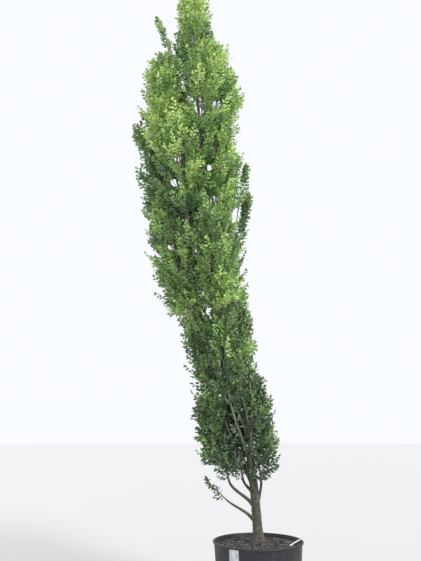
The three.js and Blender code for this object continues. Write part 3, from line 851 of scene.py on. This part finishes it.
def in_space(points, name, margin=0.0):
    """Which points lie in a mass's space: a blunt spindle, cut half way to each neighbour's."""
    points = np.atleast_2d(points)
    own = names.index(name)
    out = points - centres[own]
    along = out @ axes[own]
    across = np.linalg.norm(out - along[:, None] * axes[own], axis=1)
    bulge = ((across / (widths[own] + margin)) ** space_bluntness
             + np.abs(along / (heights_half[own] + margin)) ** space_bluntness)
    power = (((points[:, None] - centres) * squat) ** 2).sum(2) - widths ** 2
    apart = np.linalg.norm((centres - centres[own]) * squat ** 2, axis=1)
    apart[own] = 1
    to_bound = (power - power[:, [own]]) / (2 * apart)
    to_bound[:, own] = 1
    return (bulge <= 1) & (to_bound > space_gap - margin).all(1)


def stem_of(name):
    """The foot and tip of a mass's stem, on its space's axis."""
    space = spaces[name]
    line = space["centre"] + stem_shares[:, None] * space["axis"] * space["height"]
    inside = line[in_space(line, name)]
    return inside[0], inside[-1]


def slimness(name):
    """The lone shoots have thinner limbs and twigs than the full masses, and their twigs spread less."""
    return slim_share if spaces[name]["width"] < slim_half_width else 1.0


limb_trees = []
for name, space in spaces.items():
    if not space["bough"]:
        continue
    leaves_at, spread, leaving = space["bough"]
    start, tangent = trunk_at(leaves_at)
    foot = Vector(stem_of(name)[0])
    reach = (foot - start).length
    if leaving is None:
        leaving = Vector(((foot - start).x, (foot - start).y, 0)).normalized()
    heading = (tangent + spread * leaving).normalized()
    handles = [start, start + heading * reach * fork_handle,
               foot - Vector(space["axis"]) * reach * foot_handle, foot]
    shares = np.linspace(0, 1, max(int(reach / bough_ring_step), 10))
    rest = 1 - shares
    weights = np.array([rest ** 3, 3 * shares * rest ** 2, 3 * shares ** 2 * rest, shares ** 3])
    line = weights.T @ np.array(handles)
    space["line"] = line
    thick_foot = max(bough_share * trunk_radius(leaves_at), bough_least_radius)
    radii = between(thick_foot, stem_foot_radius * slimness(name), shares ** bough_taper)
    out_of_trunk = np.maximum(shares * reach - trunk_radius(leaves_at), 0)
    collar = 1 + collar_swelling * np.exp(-out_of_trunk / collar_fade)
    bough = tube_along(f"{name}_bough_bark", line, radii * collar, bough_sides)
    shape_bark(bough, line)
    bpy.ops.object.shade_smooth()
    bough.data.materials.append(beech_bark)
    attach(bough, "root")
    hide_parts(f"{name}_bough")
    limb_trees.append(bough)

limb_corners, limb_faces = [], []
for limb in (trunk, *limb_trees):
    first = len(limb_corners)
    limb_corners += [v.co.copy() for v in limb.data.vertices]
    limb_faces += [[first + v for v in p.vertices] for p in limb.data.polygons]
limb_surface = BVHTree.FromPolygons(limb_corners, limb_faces)


# Twigs and leaves
# Each bough runs on as the stem of its mass. Twigs leave the stem by the golden turn and steepen towards
# its tip, finer twigs leave those to alternate sides in flat sprays, and each bears leaves in two rows.

golden_share = (math.sqrt(5) - 1) / 2
twig_spacing = 0.0245
first_twig_at = 0.6
outer_turn = 125
twig_spreads = (95, 28)
twig_spread_jitter = 8
twig_steepening = 0.5
twig_longest = 0.70
room_step = 0.01
twig_shares = (0.58, 1.0)
twig_rise = 0.22
short_twig = 0.11
plume_lights = (-0.24, 0.24)

# A stem's tip radius, the foot and tip radius of a twig and of a fine twig, how many sides each of the
# three has, and the number of its material
stem_tip_radius = 0.003
twig_radii = (0.0042, 0.0016)
fine_twig_radii = (0.0016, 0.0008)
stem_sides = 7
twig_sides = 4
fine_twig_sides = 3
stem_wood = 0
fine_wood = 1
# A direction that no stem or twig runs along
odd_direction = (0.31, 0.87, 0.12)

# Sprays: fine twigs to alternate sides of a twig, shorter towards its tip, tried shorter where they don't fit
spray_spacing = 0.033
sprays_between = (0.10, 0.96)
spray_jitter = 0.9
spray_lengths = (0.075, 0.20)
spray_least_length = 0.05
spray_stretches = (0.7, 1.1)
spray_shortenings = (1, 0.65, 0.4)
spray_turns = (28, 58)
spray_rolls = (-65, 65)
spray_rise = 0.22
spray_steepness = 0.30
spray_margin = 0.015
# How far a spray's flat side looks up, out of the crown and to any side
spray_lifts = (0.3, 1.0)
spray_leans = (0.0, 0.9)
spray_sways = (-0.7, 0.7)
twig_end_lengths = (0.08, 0.16)
tip_margin = 0.045
leading_lengths = (0.10, 0.24)
leading_turn = 0.3
leading_sides = (0, 3)
leading_back = 0.04
# Painted light added to the leading sprays' leaf tone
leading_light = 0.1
short_twig_rise = 0.8
limb_clearance = 0.012

leaf_length = 0.046
leaf_width = 0.58
leaf_spacing = 0.0143
first_leaf_at = 0.8
leaf_sizes = (0.76, 1.1)
end_leaf_sizes = (0.7, 0.95)
end_leaf_rise = 0.3
leaf_turns = (38, 78)
# The share of its drawn turn or size that a leaf has at its spray's foot, and what it loses by the tip
leaf_turn_taper = (1.1, 0.4)
leaf_size_taper = (1.08, 0.22)
leaf_rolls = (-60, 60)
leaf_widths = (0.86, 1.12)
leaf_folds = (0.10, 0.45)
leaf_droops = (-0.02, 0.24)
leaf_waves = (-0.03, 0.03)
leaf_clearance = 0.3

# Spurs: short sprays round the boughs and the leader, longer round the leader above the shoulders, where
# they widen the slim point's foot like a skirt
spur_spacing = 0.060
spurs_between = (0.2, 0.98)
spur_lengths = (0.08, 0.15)
spur_steepness = 0.75
# Painted shade taken off the spurs' leaf tone
spur_shade = -0.10
spur_margin = 0.045
spur_least_height = 1.12
leader_spurs_from = 2.6
neck_reach = 0.22
neck_rounds = 6
neck_lengths = (0.12, 0.21)
skirt_foot = 5.4
skirt_top = 5.95
skirt_height = 0.40
skirt_reach = 0.10
skirt_lengths = (0.16, 0.32)

# The crown's outline: how far leaves stand out of the masses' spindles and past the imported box, how softly
# the spindles blend, and the slim point that the leader makes above the shoulders
crown_margin = 0.058
crown_blend = 2.5
box_margin = 0.035
point_foot = 5.45
point_top = 7.15
point_length = 0.9
point_radius = 0.22
point_taper = 0.6

# Where the crown is open, as it is seen from eye height in front: sideways place and height at the middle
# of the crown, half width, half height, and how far back the opening reaches. Those that reach all the way
# show sky, and the others show the pale stems inside.
eye = np.array([-0.446, -5.77, 1.605])
crown_openings = [
    (-0.566, 5.106, 0.030, 0.030, 2), (-0.372, 5.195, 0.045, 0.035, 2), (-0.819, 4.507, 0.025, 0.030, 2),
    (-0.463, 4.397, 0.025, 0.030, 2), (-0.408, 4.017, 0.030, 0.030, 2), (-0.837, 4.217, 0.045, 0.035, 2),
    (-0.857, 3.478, 0.040, 0.025, 2), (-0.180, 3.842, 0.025, 0.060, 2),
    (-0.681, 5.221, 0.050, 0.040, 0), (-0.535, 5.180, 0.012, 0.130, 0), (-0.588, 5.200, 0.014, 0.100, 0),
    (-0.545, 4.720, 0.014, 0.080, 0), (-0.386, 4.680, 0.012, 0.110, 0), (-0.752, 4.500, 0.012, 0.090, 0),
    (-0.735, 4.290, 0.012, 0.070, 0), (-0.426, 3.300, 0.012, 0.110, 0), (-0.775, 3.290, 0.012, 0.080, 0),
    (-0.324, 2.280, 0.012, 0.120, 0), (-0.435, 2.170, 0.010, 0.090, 0), (-0.660, 6.100, 0.012, 0.090, 0)]
# Clusters of painted sun and painted shade: sideways place and height as seen in front, how wide they are and
# how much lighter or darker
light_clusters = [
    (-0.640, 6.600, 0.30, 0.40), (-0.359, 5.614, 0.20, 0.26), (-1.031, 5.500, 0.14, 0.40),
    (-1.021, 5.055, 0.18, 0.44), (-0.700, 5.000, 0.30, 0.16), (-0.215, 4.740, 0.13, 0.34),
    (-0.276, 4.134, 0.12, 0.18), (-0.960, 3.807, 0.13, 0.26), (-0.365, 3.819, 0.11, 0.24),
    (-0.450, 2.850, 0.40, 0.28), (-0.263, 3.005, 0.12, 0.22), (-0.391, 1.838, 0.12, 0.34),
    (-0.749, 5.208, 0.10, -0.20), (-0.507, 4.494, 0.14, -0.15), (-0.990, 4.240, 0.17, -0.16),
    (-0.744, 3.842, 0.20, -0.35), (-0.986, 3.480, 0.16, -0.28), (-0.558, 3.444, 0.16, -0.10),
    (-0.620, 2.680, 0.20, 0.28), (-0.250, 2.300, 0.20, 0.20), (-0.250, 3.450, 0.14, 0.06),
    (-0.850, 3.330, 0.14, 0.04), (-0.200, 1.350, 0.30, -0.06), (-0.980, 4.620, 0.18, 0.34),
    (-0.080, 1.880, 0.22, 0.12)]
cluster_softness = 0.6

# How much painted light a spray's leaves take, from painted shade to painted full sun: what they have low
# down, what the height of the crown adds and how soon, what its reach out of the crown adds, how much it
# varies, and how much painted shade darkens the shoots
light_at_foot = 0.10
light_by_height = 0.62
light_rise = 0.6
light_by_reach = 0.15
light_jitter = (-0.20, 0.20)
shoot_shade = 0.22
leaves_from = 0.9
leaves_height = 5.6
crown_reach = 0.5

# One beech leaf: an oval blade folded along its rib and a little wavy, pointing up +Y from its foot. Each
# pair is a corner's place across and along, as shares of its width and length: first three on the rib.
leaf_corners = np.array([
    (0, 0), (0, 0.48), (0, 1.02),
    (-0.37, 0.22), (-0.50, 0.50), (-0.31, 0.80), (0.37, 0.22), (0.50, 0.50), (0.31, 0.80)])
leaf_faces = [(0, 1, 4, 3), (1, 2, 5, 4), (0, 6, 7, 1), (1, 7, 8, 2)]
# Name, colour and the least light of each tone: lit and shaded copies of one leaf green, that is painted
# light and painted shade
leaf_tones = [
    ("leaf_sunlit", (0.560, 0.730, 0.250), 0.92), ("leaf_bright", (0.395, 0.585, 0.182), 0.74),
    ("leaf_half_lit", (0.278, 0.448, 0.142), 0.56), ("leaf_green", (0.201, 0.330, 0.122), 0.38),
    ("leaf_deep", (0.141, 0.228, 0.103), 0.20), ("leaf_shade", (0.099, 0.155, 0.087), -9)]


def seeded_variation(seed):
    """Numbers that vary from spray to spray but never from one run to the next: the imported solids' rule."""
    most = 2147483647
    state = seed * 104729

    def vary(low, high):
        nonlocal state
        state = (state * 48271) % most
        return low + (high - low) * state / most
    return vary


def turned(vector, axis, angle):
    """A vector turned round a unit axis."""
    return (vector * math.cos(angle) + np.cross(axis, vector) * math.sin(angle)
            + axis * (axis @ vector) * (1 - math.cos(angle)))


def out_of_crown(name, angle):
    """The direction square to a mass's stem that looks out of the crown, turned round the stem."""
    axis = spaces[name]["axis"]
    outward = spaces[name]["centre"] - crown_at(spaces[name]["centre"][2])
    if np.linalg.norm(outward) < 0.001:
        outward = np.array([1.0, 0, 0])
    outward = unit(outward - (outward @ axis) * axis)
    return turned(outward, axis, angle)


def point_on(line, share):
    """The place at a share of the steps of a line."""
    return np.array([np.interp(share * (len(line) - 1), range(len(line)), line[:, i]) for i in range(3)])


def near_crown(points, margin):
    """Which points lie in the masses' spindles, let out by a margin and blended where they meet, or in the
    slim point that the leader makes above the shoulders."""
    in_box = ((points > np.array(cad_low) - box_margin) & (points < np.array(cad_high) + box_margin)).all(1)
    middle_xs, middle_zs = np.transpose(crown_line)
    from_middle = np.hypot(points[:, 0] - np.interp(points[:, 2], middle_zs, middle_xs), points[:, 1])
    to_tip = np.clip((point_top - points[:, 2]) / point_length, 0, 1)
    skirt = skirt_reach * np.clip((skirt_top - points[:, 2]) / skirt_height, 0, 1)
    in_point = (from_middle < point_radius * to_tip ** point_taper + skirt) & (points[:, 2] > point_foot)
    margin = margin * np.minimum(widths / full_width, 1)
    out = np.atleast_2d(points)[:, None] - centres
    along = (out * axes).sum(2)
    across = np.linalg.norm(out - along[:, :, None] * axes, axis=2)
    ends = heights_half + margin + leading * (along > 0) * np.minimum(margin / crown_margin, 1)
    bulge = (across / (widths + margin)) ** bluntness + np.abs(along / ends) ** bluntness
    return in_box & (in_point | (np.exp(crown_blend * (1 - bulge)).sum(1) >= 1))


def seen_at(points):
    """Sideways place and height at which points are seen against the crown's middle, from the eye."""
    sight = points - eye
    return (eye + sight * (-eye[1] / sight[:, 1])[:, None])[:, [0, 2]]


def cluster_light(place):
    """How much painted light or painted shade a place takes for the clusters that it is seen in or near."""
    x, z = seen_at(place[None])[0]
    light = 0
    for across, height, wide, more in light_clusters:
        away = (x - across) ** 2 + (z - height) ** 2
        light += more * math.exp(-away / (2 * (cluster_softness * wide) ** 2))
    return light


def in_opening(points):
    """Which points would close one of the crown's openings."""
    seen = seen_at(points)
    closed = np.zeros(len(points), bool)
    leaf_reach = leaf_length / 3
    for x, z, half_width, half_height, back in crown_openings:
        away = ((seen[:, 0] - x) / (half_width + leaf_reach)) ** 2
        away += ((seen[:, 1] - z) / (half_height + leaf_reach)) ** 2
        closed |= (away < 1) & (points[:, 1] < back)
    return closed


def room_along(start, direction, name):
    """How far a straight line stays inside the space."""
    reaches = np.arange(room_step, twig_longest, room_step)
    inside = in_space(start + reaches[:, None] * direction, name)
    return twig_longest if inside.all() else reaches[np.argmin(inside)] - room_step


def bowed(start, direction, towards, length, rise, steps):
    """A line that leaves in a direction and bows towards the light."""
    shares = np.linspace(0, 1, steps)[:, None]
    return start + length * (shares * direction + shares ** 2 * rise * towards)


class Wood:
    """The stem and twigs of one mass, gathered as closed tapering tubes with few sides."""

    def __init__(self):
        self.corners, self.faces, self.kinds, self.count = [], [], [], 0

    def add(self, line, foot_radius, tip_radius, sides, kind):
        ahead = np.gradient(line, axis=0)
        ahead /= np.linalg.norm(ahead, axis=1)[:, None]
        aside = np.cross(ahead, odd_direction)
        aside /= np.linalg.norm(aside, axis=1)[:, None]
        third = np.cross(ahead, aside)
        radii = np.linspace(foot_radius, tip_radius, len(line))[:, None]
        for side in range(sides):
            angle = math.tau * side / sides
            self.corners.append(line + radii * (aside * math.cos(angle) + third * math.sin(angle)))
        steps, first, faces_before = len(line), self.count, len(self.faces)
        for side in range(sides):
            here, there = first + side * steps, first + (side + 1) % sides * steps
            self.faces += [(here + i, there + i, there + i + 1, here + i + 1) for i in range(steps - 1)]
        self.faces.append([first + side * steps for side in range(sides)][::-1])
        self.faces.append([first + side * steps + steps - 1 for side in range(sides)])
        self.kinds += [kind] * (len(self.faces) - faces_before)
        self.count += sides * steps


def grow_mass(name, seed):
    """The wood of one mass, and each leaf's place, heading, normal, length and tone."""
    vary = seeded_variation(seed)
    space = spaces[name]
    axis = space["axis"]
    up = np.array([0, 0, 1.0])
    foot, tip = stem_of(name)
    slim = slimness(name)
    wood, leaves = Wood(), []
    stem_length = np.linalg.norm(tip - foot)
    stem_radius = stem_foot_radius * slim if space["bough"] else leader_tip_radius
    wood.add(bowed(foot, axis, axis, stem_length, 0, 10), stem_radius, stem_tip_radius, stem_sides, stem_wood)

    def pick_tone(place, plume):
        """Painted light and shade: sprays high and far out of the crown get lit tones, those low and deep
        inside get dark ones.
        """
        outness = min(np.linalg.norm((place - crown_at(place[2]))[:2]) / crown_reach, 1.0)
        highness = min(max((place[2] - leaves_from) / leaves_height, 0), 1)
        light = light_at_foot + light_by_height * highness ** light_rise + light_by_reach * (outness - 0.5)
        light += plume
        light += vary(*light_jitter)
        light -= shoot_shade * (slim < 1)
        if place[1] < 0:
            light += cluster_light(place)
        return next(i for i, (_, _, least) in enumerate(leaf_tones) if light >= least)

    def bear_spray(start, heading, length, tone, margin=spray_margin):
        """A fine twig with leaves in two rows and one at its end."""
        line = bowed(start, heading, up, length, spray_rise, 3)
        fits = near_crown(line[1:], margin).all() and not in_opening(line[1:]).any()
        if not fits or limb_surface.find_nearest(line[-1], limb_clearance)[0]:
            return False
        wood.add(line, *fine_twig_radii, fine_twig_sides, fine_wood)
        outward = unit(line[-1] - crown_at(line[-1][2]))
        lifted, leaned = up * vary(*spray_lifts), outward * vary(*spray_leans)
        facing = unit(lifted + leaned + np.array([vary(*spray_sways), vary(*spray_sways), 0]))
        normal = unit(facing - (facing @ heading) * heading)
        count = max(int(length / leaf_spacing), 2)
        for leaf in range(count):
            share = (leaf + first_leaf_at) / count
            at = start + length * (share * heading + share ** 2 * spray_rise * up)
            side = 1 if leaf % 2 else -1
            turn = vary(*leaf_turns) * (leaf_turn_taper[0] - leaf_turn_taper[1] * share)
            ahead = turned(heading, normal, side * math.radians(turn))
            face = turned(normal, ahead, math.radians(vary(*leaf_rolls)))
            size = leaf_length * vary(*leaf_sizes) * (leaf_size_taper[0] - leaf_size_taper[1] * share)
            leaves.append((at, ahead, face, size, tone))
        size = leaf_length * vary(*end_leaf_sizes)
        leaves.append((line[-1], unit(heading + end_leaf_rise * up), normal, size, tone))
        return True

    def bear_spurs(line, lengths=spur_lengths):
        """Short leafy spurs by the golden turn round a bough or a length of the leader."""
        reach = np.linalg.norm(np.diff(line, axis=0), axis=1).sum()
        turn = vary(0, math.tau)
        for share in np.arange(*spurs_between, spur_spacing / reach):
            at = point_on(line, share)
            turn += math.tau * golden_share
            if at[2] < spur_least_height:
                continue
            ahead = unit(line[-1] - line[0])
            outward = np.array([math.cos(turn), math.sin(turn), 0])
            heading = unit(outward + spur_steepness * ahead)
            bear_spray(at, heading, vary(*lengths), pick_tone(at, spur_shade), spur_margin)

    twigs = max(int(stem_length / (twig_spacing * space["sparse"])), 4)
    first_share = vary(0, 1)
    for twig in range(twigs):
        share = (twig + first_twig_at) / twigs
        golden = (first_share + twig * golden_share) % 1
        start = foot + (tip - foot) * share
        outward = out_of_crown(name, math.radians(outer_turn * (2 * golden - 1)))
        spread = between(*twig_spreads, share ** twig_steepening) * slim
        spread = math.radians(spread + vary(-twig_spread_jitter, twig_spread_jitter))
        direction = axis * math.cos(spread) + outward * math.sin(spread)
        plume = vary(*plume_lights)
        room = room_along(start, direction, name) - leaf_clearance * leaf_length
        length = room * between(*twig_shares, vary(0, 1))
        if length < short_twig:
            for heading in (direction, unit(direction + short_twig_rise * axis)):
                bear_spray(start, heading, max(length, spray_least_length), pick_tone(start, plume))
            continue
        line = bowed(start, direction, axis, length, twig_rise, 6)
        inside = in_space(line[1:], name)
        line = line if inside.all() else line[:np.argmin(inside) + 1]
        if len(line) < 3:
            continue
        wood.add(line, twig_radii[0] * slim, twig_radii[1], twig_sides, stem_wood)
        reach = np.linalg.norm(line[-1] - line[0])
        sprays = max(int(reach / spray_spacing), 1) * 2
        flat = unit(np.cross(direction, turned(outward, axis, math.pi / 2)))
        for spray in range(sprays):
            on_twig = between(*sprays_between, (spray + vary(0, spray_jitter)) / sprays)
            at = point_on(line, on_twig)
            side = 1 if spray % 2 else -1
            heading = turned(direction, flat, side * math.radians(vary(*spray_turns)))
            heading = turned(heading, direction, math.radians(vary(*spray_rolls)))
            heading = unit(heading + spray_steepness * axis)
            long = between(*spray_lengths[::-1], on_twig) * vary(*spray_stretches)
            tone = pick_tone(at, plume)
            for shorter in spray_shortenings:
                if bear_spray(at, heading, long * shorter, tone):
                    break
        tip_tone = pick_tone(line[-1], plume)
        bear_spray(line[-1], unit(line[-1] - line[-2]), vary(*twig_end_lengths), tip_tone, tip_margin)
    for side in (-1, 0, 1) if slim == 1 else (0,):
        heading = turned(axis, out_of_crown(name, vary(*leading_sides)), side * leading_turn)
        length = vary(*leading_lengths)
        bear_spray(tip - leading_back * axis, heading, length, pick_tone(tip, leading_light), crown_margin)
    if space["bough"]:
        bear_spurs(space["line"])
    else:
        levels = trunk_points[:, 2]
        bear_spurs(trunk_points[levels > leader_spurs_from])
        for _ in range(neck_rounds):
            bear_spurs(np.linspace(foot - neck_reach * axis, foot + neck_reach * axis, 20), neck_lengths)
            bear_spurs(trunk_points[(levels > skirt_foot) & (levels < skirt_top)], skirt_lengths)
    return wood, leaves


def leaf_mesh(name, leaves, seed):
    """One mesh of all leaves that keep to the crown, out of its openings and clear of every limb."""
    spin = np.random.default_rng(seed)
    roots, ahead, normal = (np.array([leaf[i] for leaf in leaves]) for i in range(3))
    size = np.array([leaf[3] for leaf in leaves])[:, None]
    tones = np.array([leaf[4] for leaf in leaves])
    across = np.cross(ahead, normal)
    across /= np.linalg.norm(across, axis=1)[:, None]
    normal = np.cross(across, ahead)
    fold = spin.uniform(*leaf_folds, (len(leaves), 1))
    droop = spin.uniform(*leaf_droops, (len(leaves), 1))
    x = leaf_corners[:, 0] * leaf_width * spin.uniform(*leaf_widths, (len(leaves), 1))
    y = np.broadcast_to(leaf_corners[:, 1], x.shape)
    z = fold * np.abs(x) - droop * y ** 2
    z[:, 3:] += spin.uniform(*leaf_waves, (len(leaves), 6))
    corners = roots[:, None] + size[:, :, None] * (
        x[:, :, None] * across[:, None] + y[:, :, None] * ahead[:, None] + z[:, :, None] * normal[:, None])
    outer_corners = corners[:, [2, 4, 7]].reshape(-1, 3)
    keep = near_crown(outer_corners, crown_margin).reshape(-1, 3).all(1)
    keep &= ~in_opening(corners[:, 1])
    for i in np.flatnonzero(keep):
        keep[i] = limb_surface.find_nearest(corners[i, 1], float(size[i, 0]) * leaf_clearance)[0] is None
    corners, tones = corners[keep], tones[keep]
    mesh = bpy.data.meshes.new(f"{name}_leaves")
    firsts = range(0, len(corners) * len(leaf_corners), len(leaf_corners))
    faces = [[corner + first for corner in face] for first in firsts for face in leaf_faces]
    mesh.from_pydata(corners.reshape(-1, 3).tolist(), [], faces)
    mesh.polygons.foreach_set("material_index", np.repeat(tones, len(leaf_faces)))
    return mesh


# One leaf material to each tone of painted light and painted shade
leaf_materials = []
for tone, colour, _ in leaf_tones:
    paint = Paint(tone, colour, 0.55)
    paint.shader.inputs["Specular IOR Level"].default_value = 0.25
    paint.bump(paint.noise(90, 3), 0.002, 0.25)
    leaf_materials.append(paint.material)

# How light stems and twigs are in the painted shade low down, as a share of their colour, and the heights
# between which painted light brings them to all of it
painted_shade_share = 0.35
twig_pale_heights = (1.40, 3.20)
wood_materials = []
for name, dark, light in (("stem_bark", (0.32, 0.32, 0.25), (0.62, 0.62, 0.52)),
                          ("twig_bark", (0.16, 0.14, 0.09), (0.36, 0.32, 0.22))):
    paint = Paint(name, light, 0.72)
    fibres = paint.noise(40, 4)
    pale = paint.ramp(fibres, [(0.35, dark), (0.65, light)])
    low_dark, low_light = ([painted_shade_share * c for c in colour] for colour in (dark, light))
    painted_shade_colour = paint.ramp(fibres, [(0.35, low_dark), (0.65, low_light)])
    painted_light_share = by_height(paint, *twig_pale_heights, 1.0)
    paint.put(paint.mix(painted_light_share, painted_shade_colour, pale), "Base Color")
    wood_materials.append(paint.material)

for seed, name in enumerate(names, start=1):
    wood, leaves = grow_mass(name, seed)
    wood_mesh = bpy.data.meshes.new(f"{name}_twigs")
    wood_mesh.from_pydata(np.concatenate(wood.corners).tolist(), [], wood.faces)
    wood_mesh.polygons.foreach_set("material_index", wood.kinds)
    foliage_mesh = leaf_mesh(name, leaves, seed)
    for mesh, materials, slot in (
        (wood_mesh, wood_materials, "bark"),
        (foliage_mesh, leaf_materials, "leaf"),
    ):
        piece = bpy.data.objects.new(mesh.name, mesh)
        bpy.context.scene.collection.objects.link(piece)
        for material in materials:
            mesh.materials.append(material)
        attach(piece, "root")
        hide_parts(f"{name}_foliage")


# Floor
# A plain pale studio floor, wide enough that its edge never shows. It isn't part of the tree.

deselect_all()
bpy.ops.mesh.primitive_circle_add(vertices=96, radius=60, fill_type="NGON", location=(0, 0, -0.001))
floor = bpy.context.object
floor.name = "studio_floor"
paint = Paint("pale_floor", (0.50, 0.50, 0.50), 0.8)
floor.data.materials.append(paint.material)
floor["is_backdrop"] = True


# Light
# Soft studio light: a pale surround, a broad sun-like lamp high to the right of the viewer and a weaker
# one behind to the left, so that one side of the crown is lit and its heart stays dark.

world = bpy.data.worlds.new("pale_surround")
world.use_nodes = True
world.node_tree.nodes["Background"].inputs["Color"].default_value = (0.95, 0.97, 1.0, 1)
world.node_tree.nodes["Background"].inputs["Strength"].default_value = 1.0
bpy.context.scene.world = world

for name, direction, softness, strength in (
    ("key_lamp", Vector((-0.60, 0.62, -0.85)), 25, 2.7),
    ("back_lamp", Vector((0.7, -0.5, -0.6)), 30, 0.8),
):
    lamp = bpy.data.lights.new(name, "SUN")
    lamp.angle = math.radians(softness)
    lamp.energy = strength
    holder = bpy.data.objects.new(name, lamp)
    holder.rotation_euler = direction.to_track_quat("-Z", "Y").to_euler()
    bpy.context.scene.collection.objects.link(holder)


# Camera
# Eye height, 5.8 m in front and tilted up, worked out from the rim's ellipse and the size of the leaves.

focal_pixels = 567
frame_height = 561
sensor_size = 36
camera_tilt = 14.6
camera_data = bpy.data.cameras.new("camera")
camera_data.sensor_width = sensor_size
camera_data.sensor_fit = "AUTO"
camera_data.lens = sensor_size * focal_pixels / frame_height
camera = bpy.data.objects.new("camera", camera_data)
camera.location = eye
camera.rotation_euler = (math.radians(90 + camera_tilt), 0, 0)
bpy.context.scene.collection.objects.link(camera)
bpy.context.scene.camera = camera
bpy.context.scene.view_settings.view_transform = "Standard"

low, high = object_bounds()
{"cad": [list(cad_low), list(cad_high)], "visual": [list(low), list(high)]}
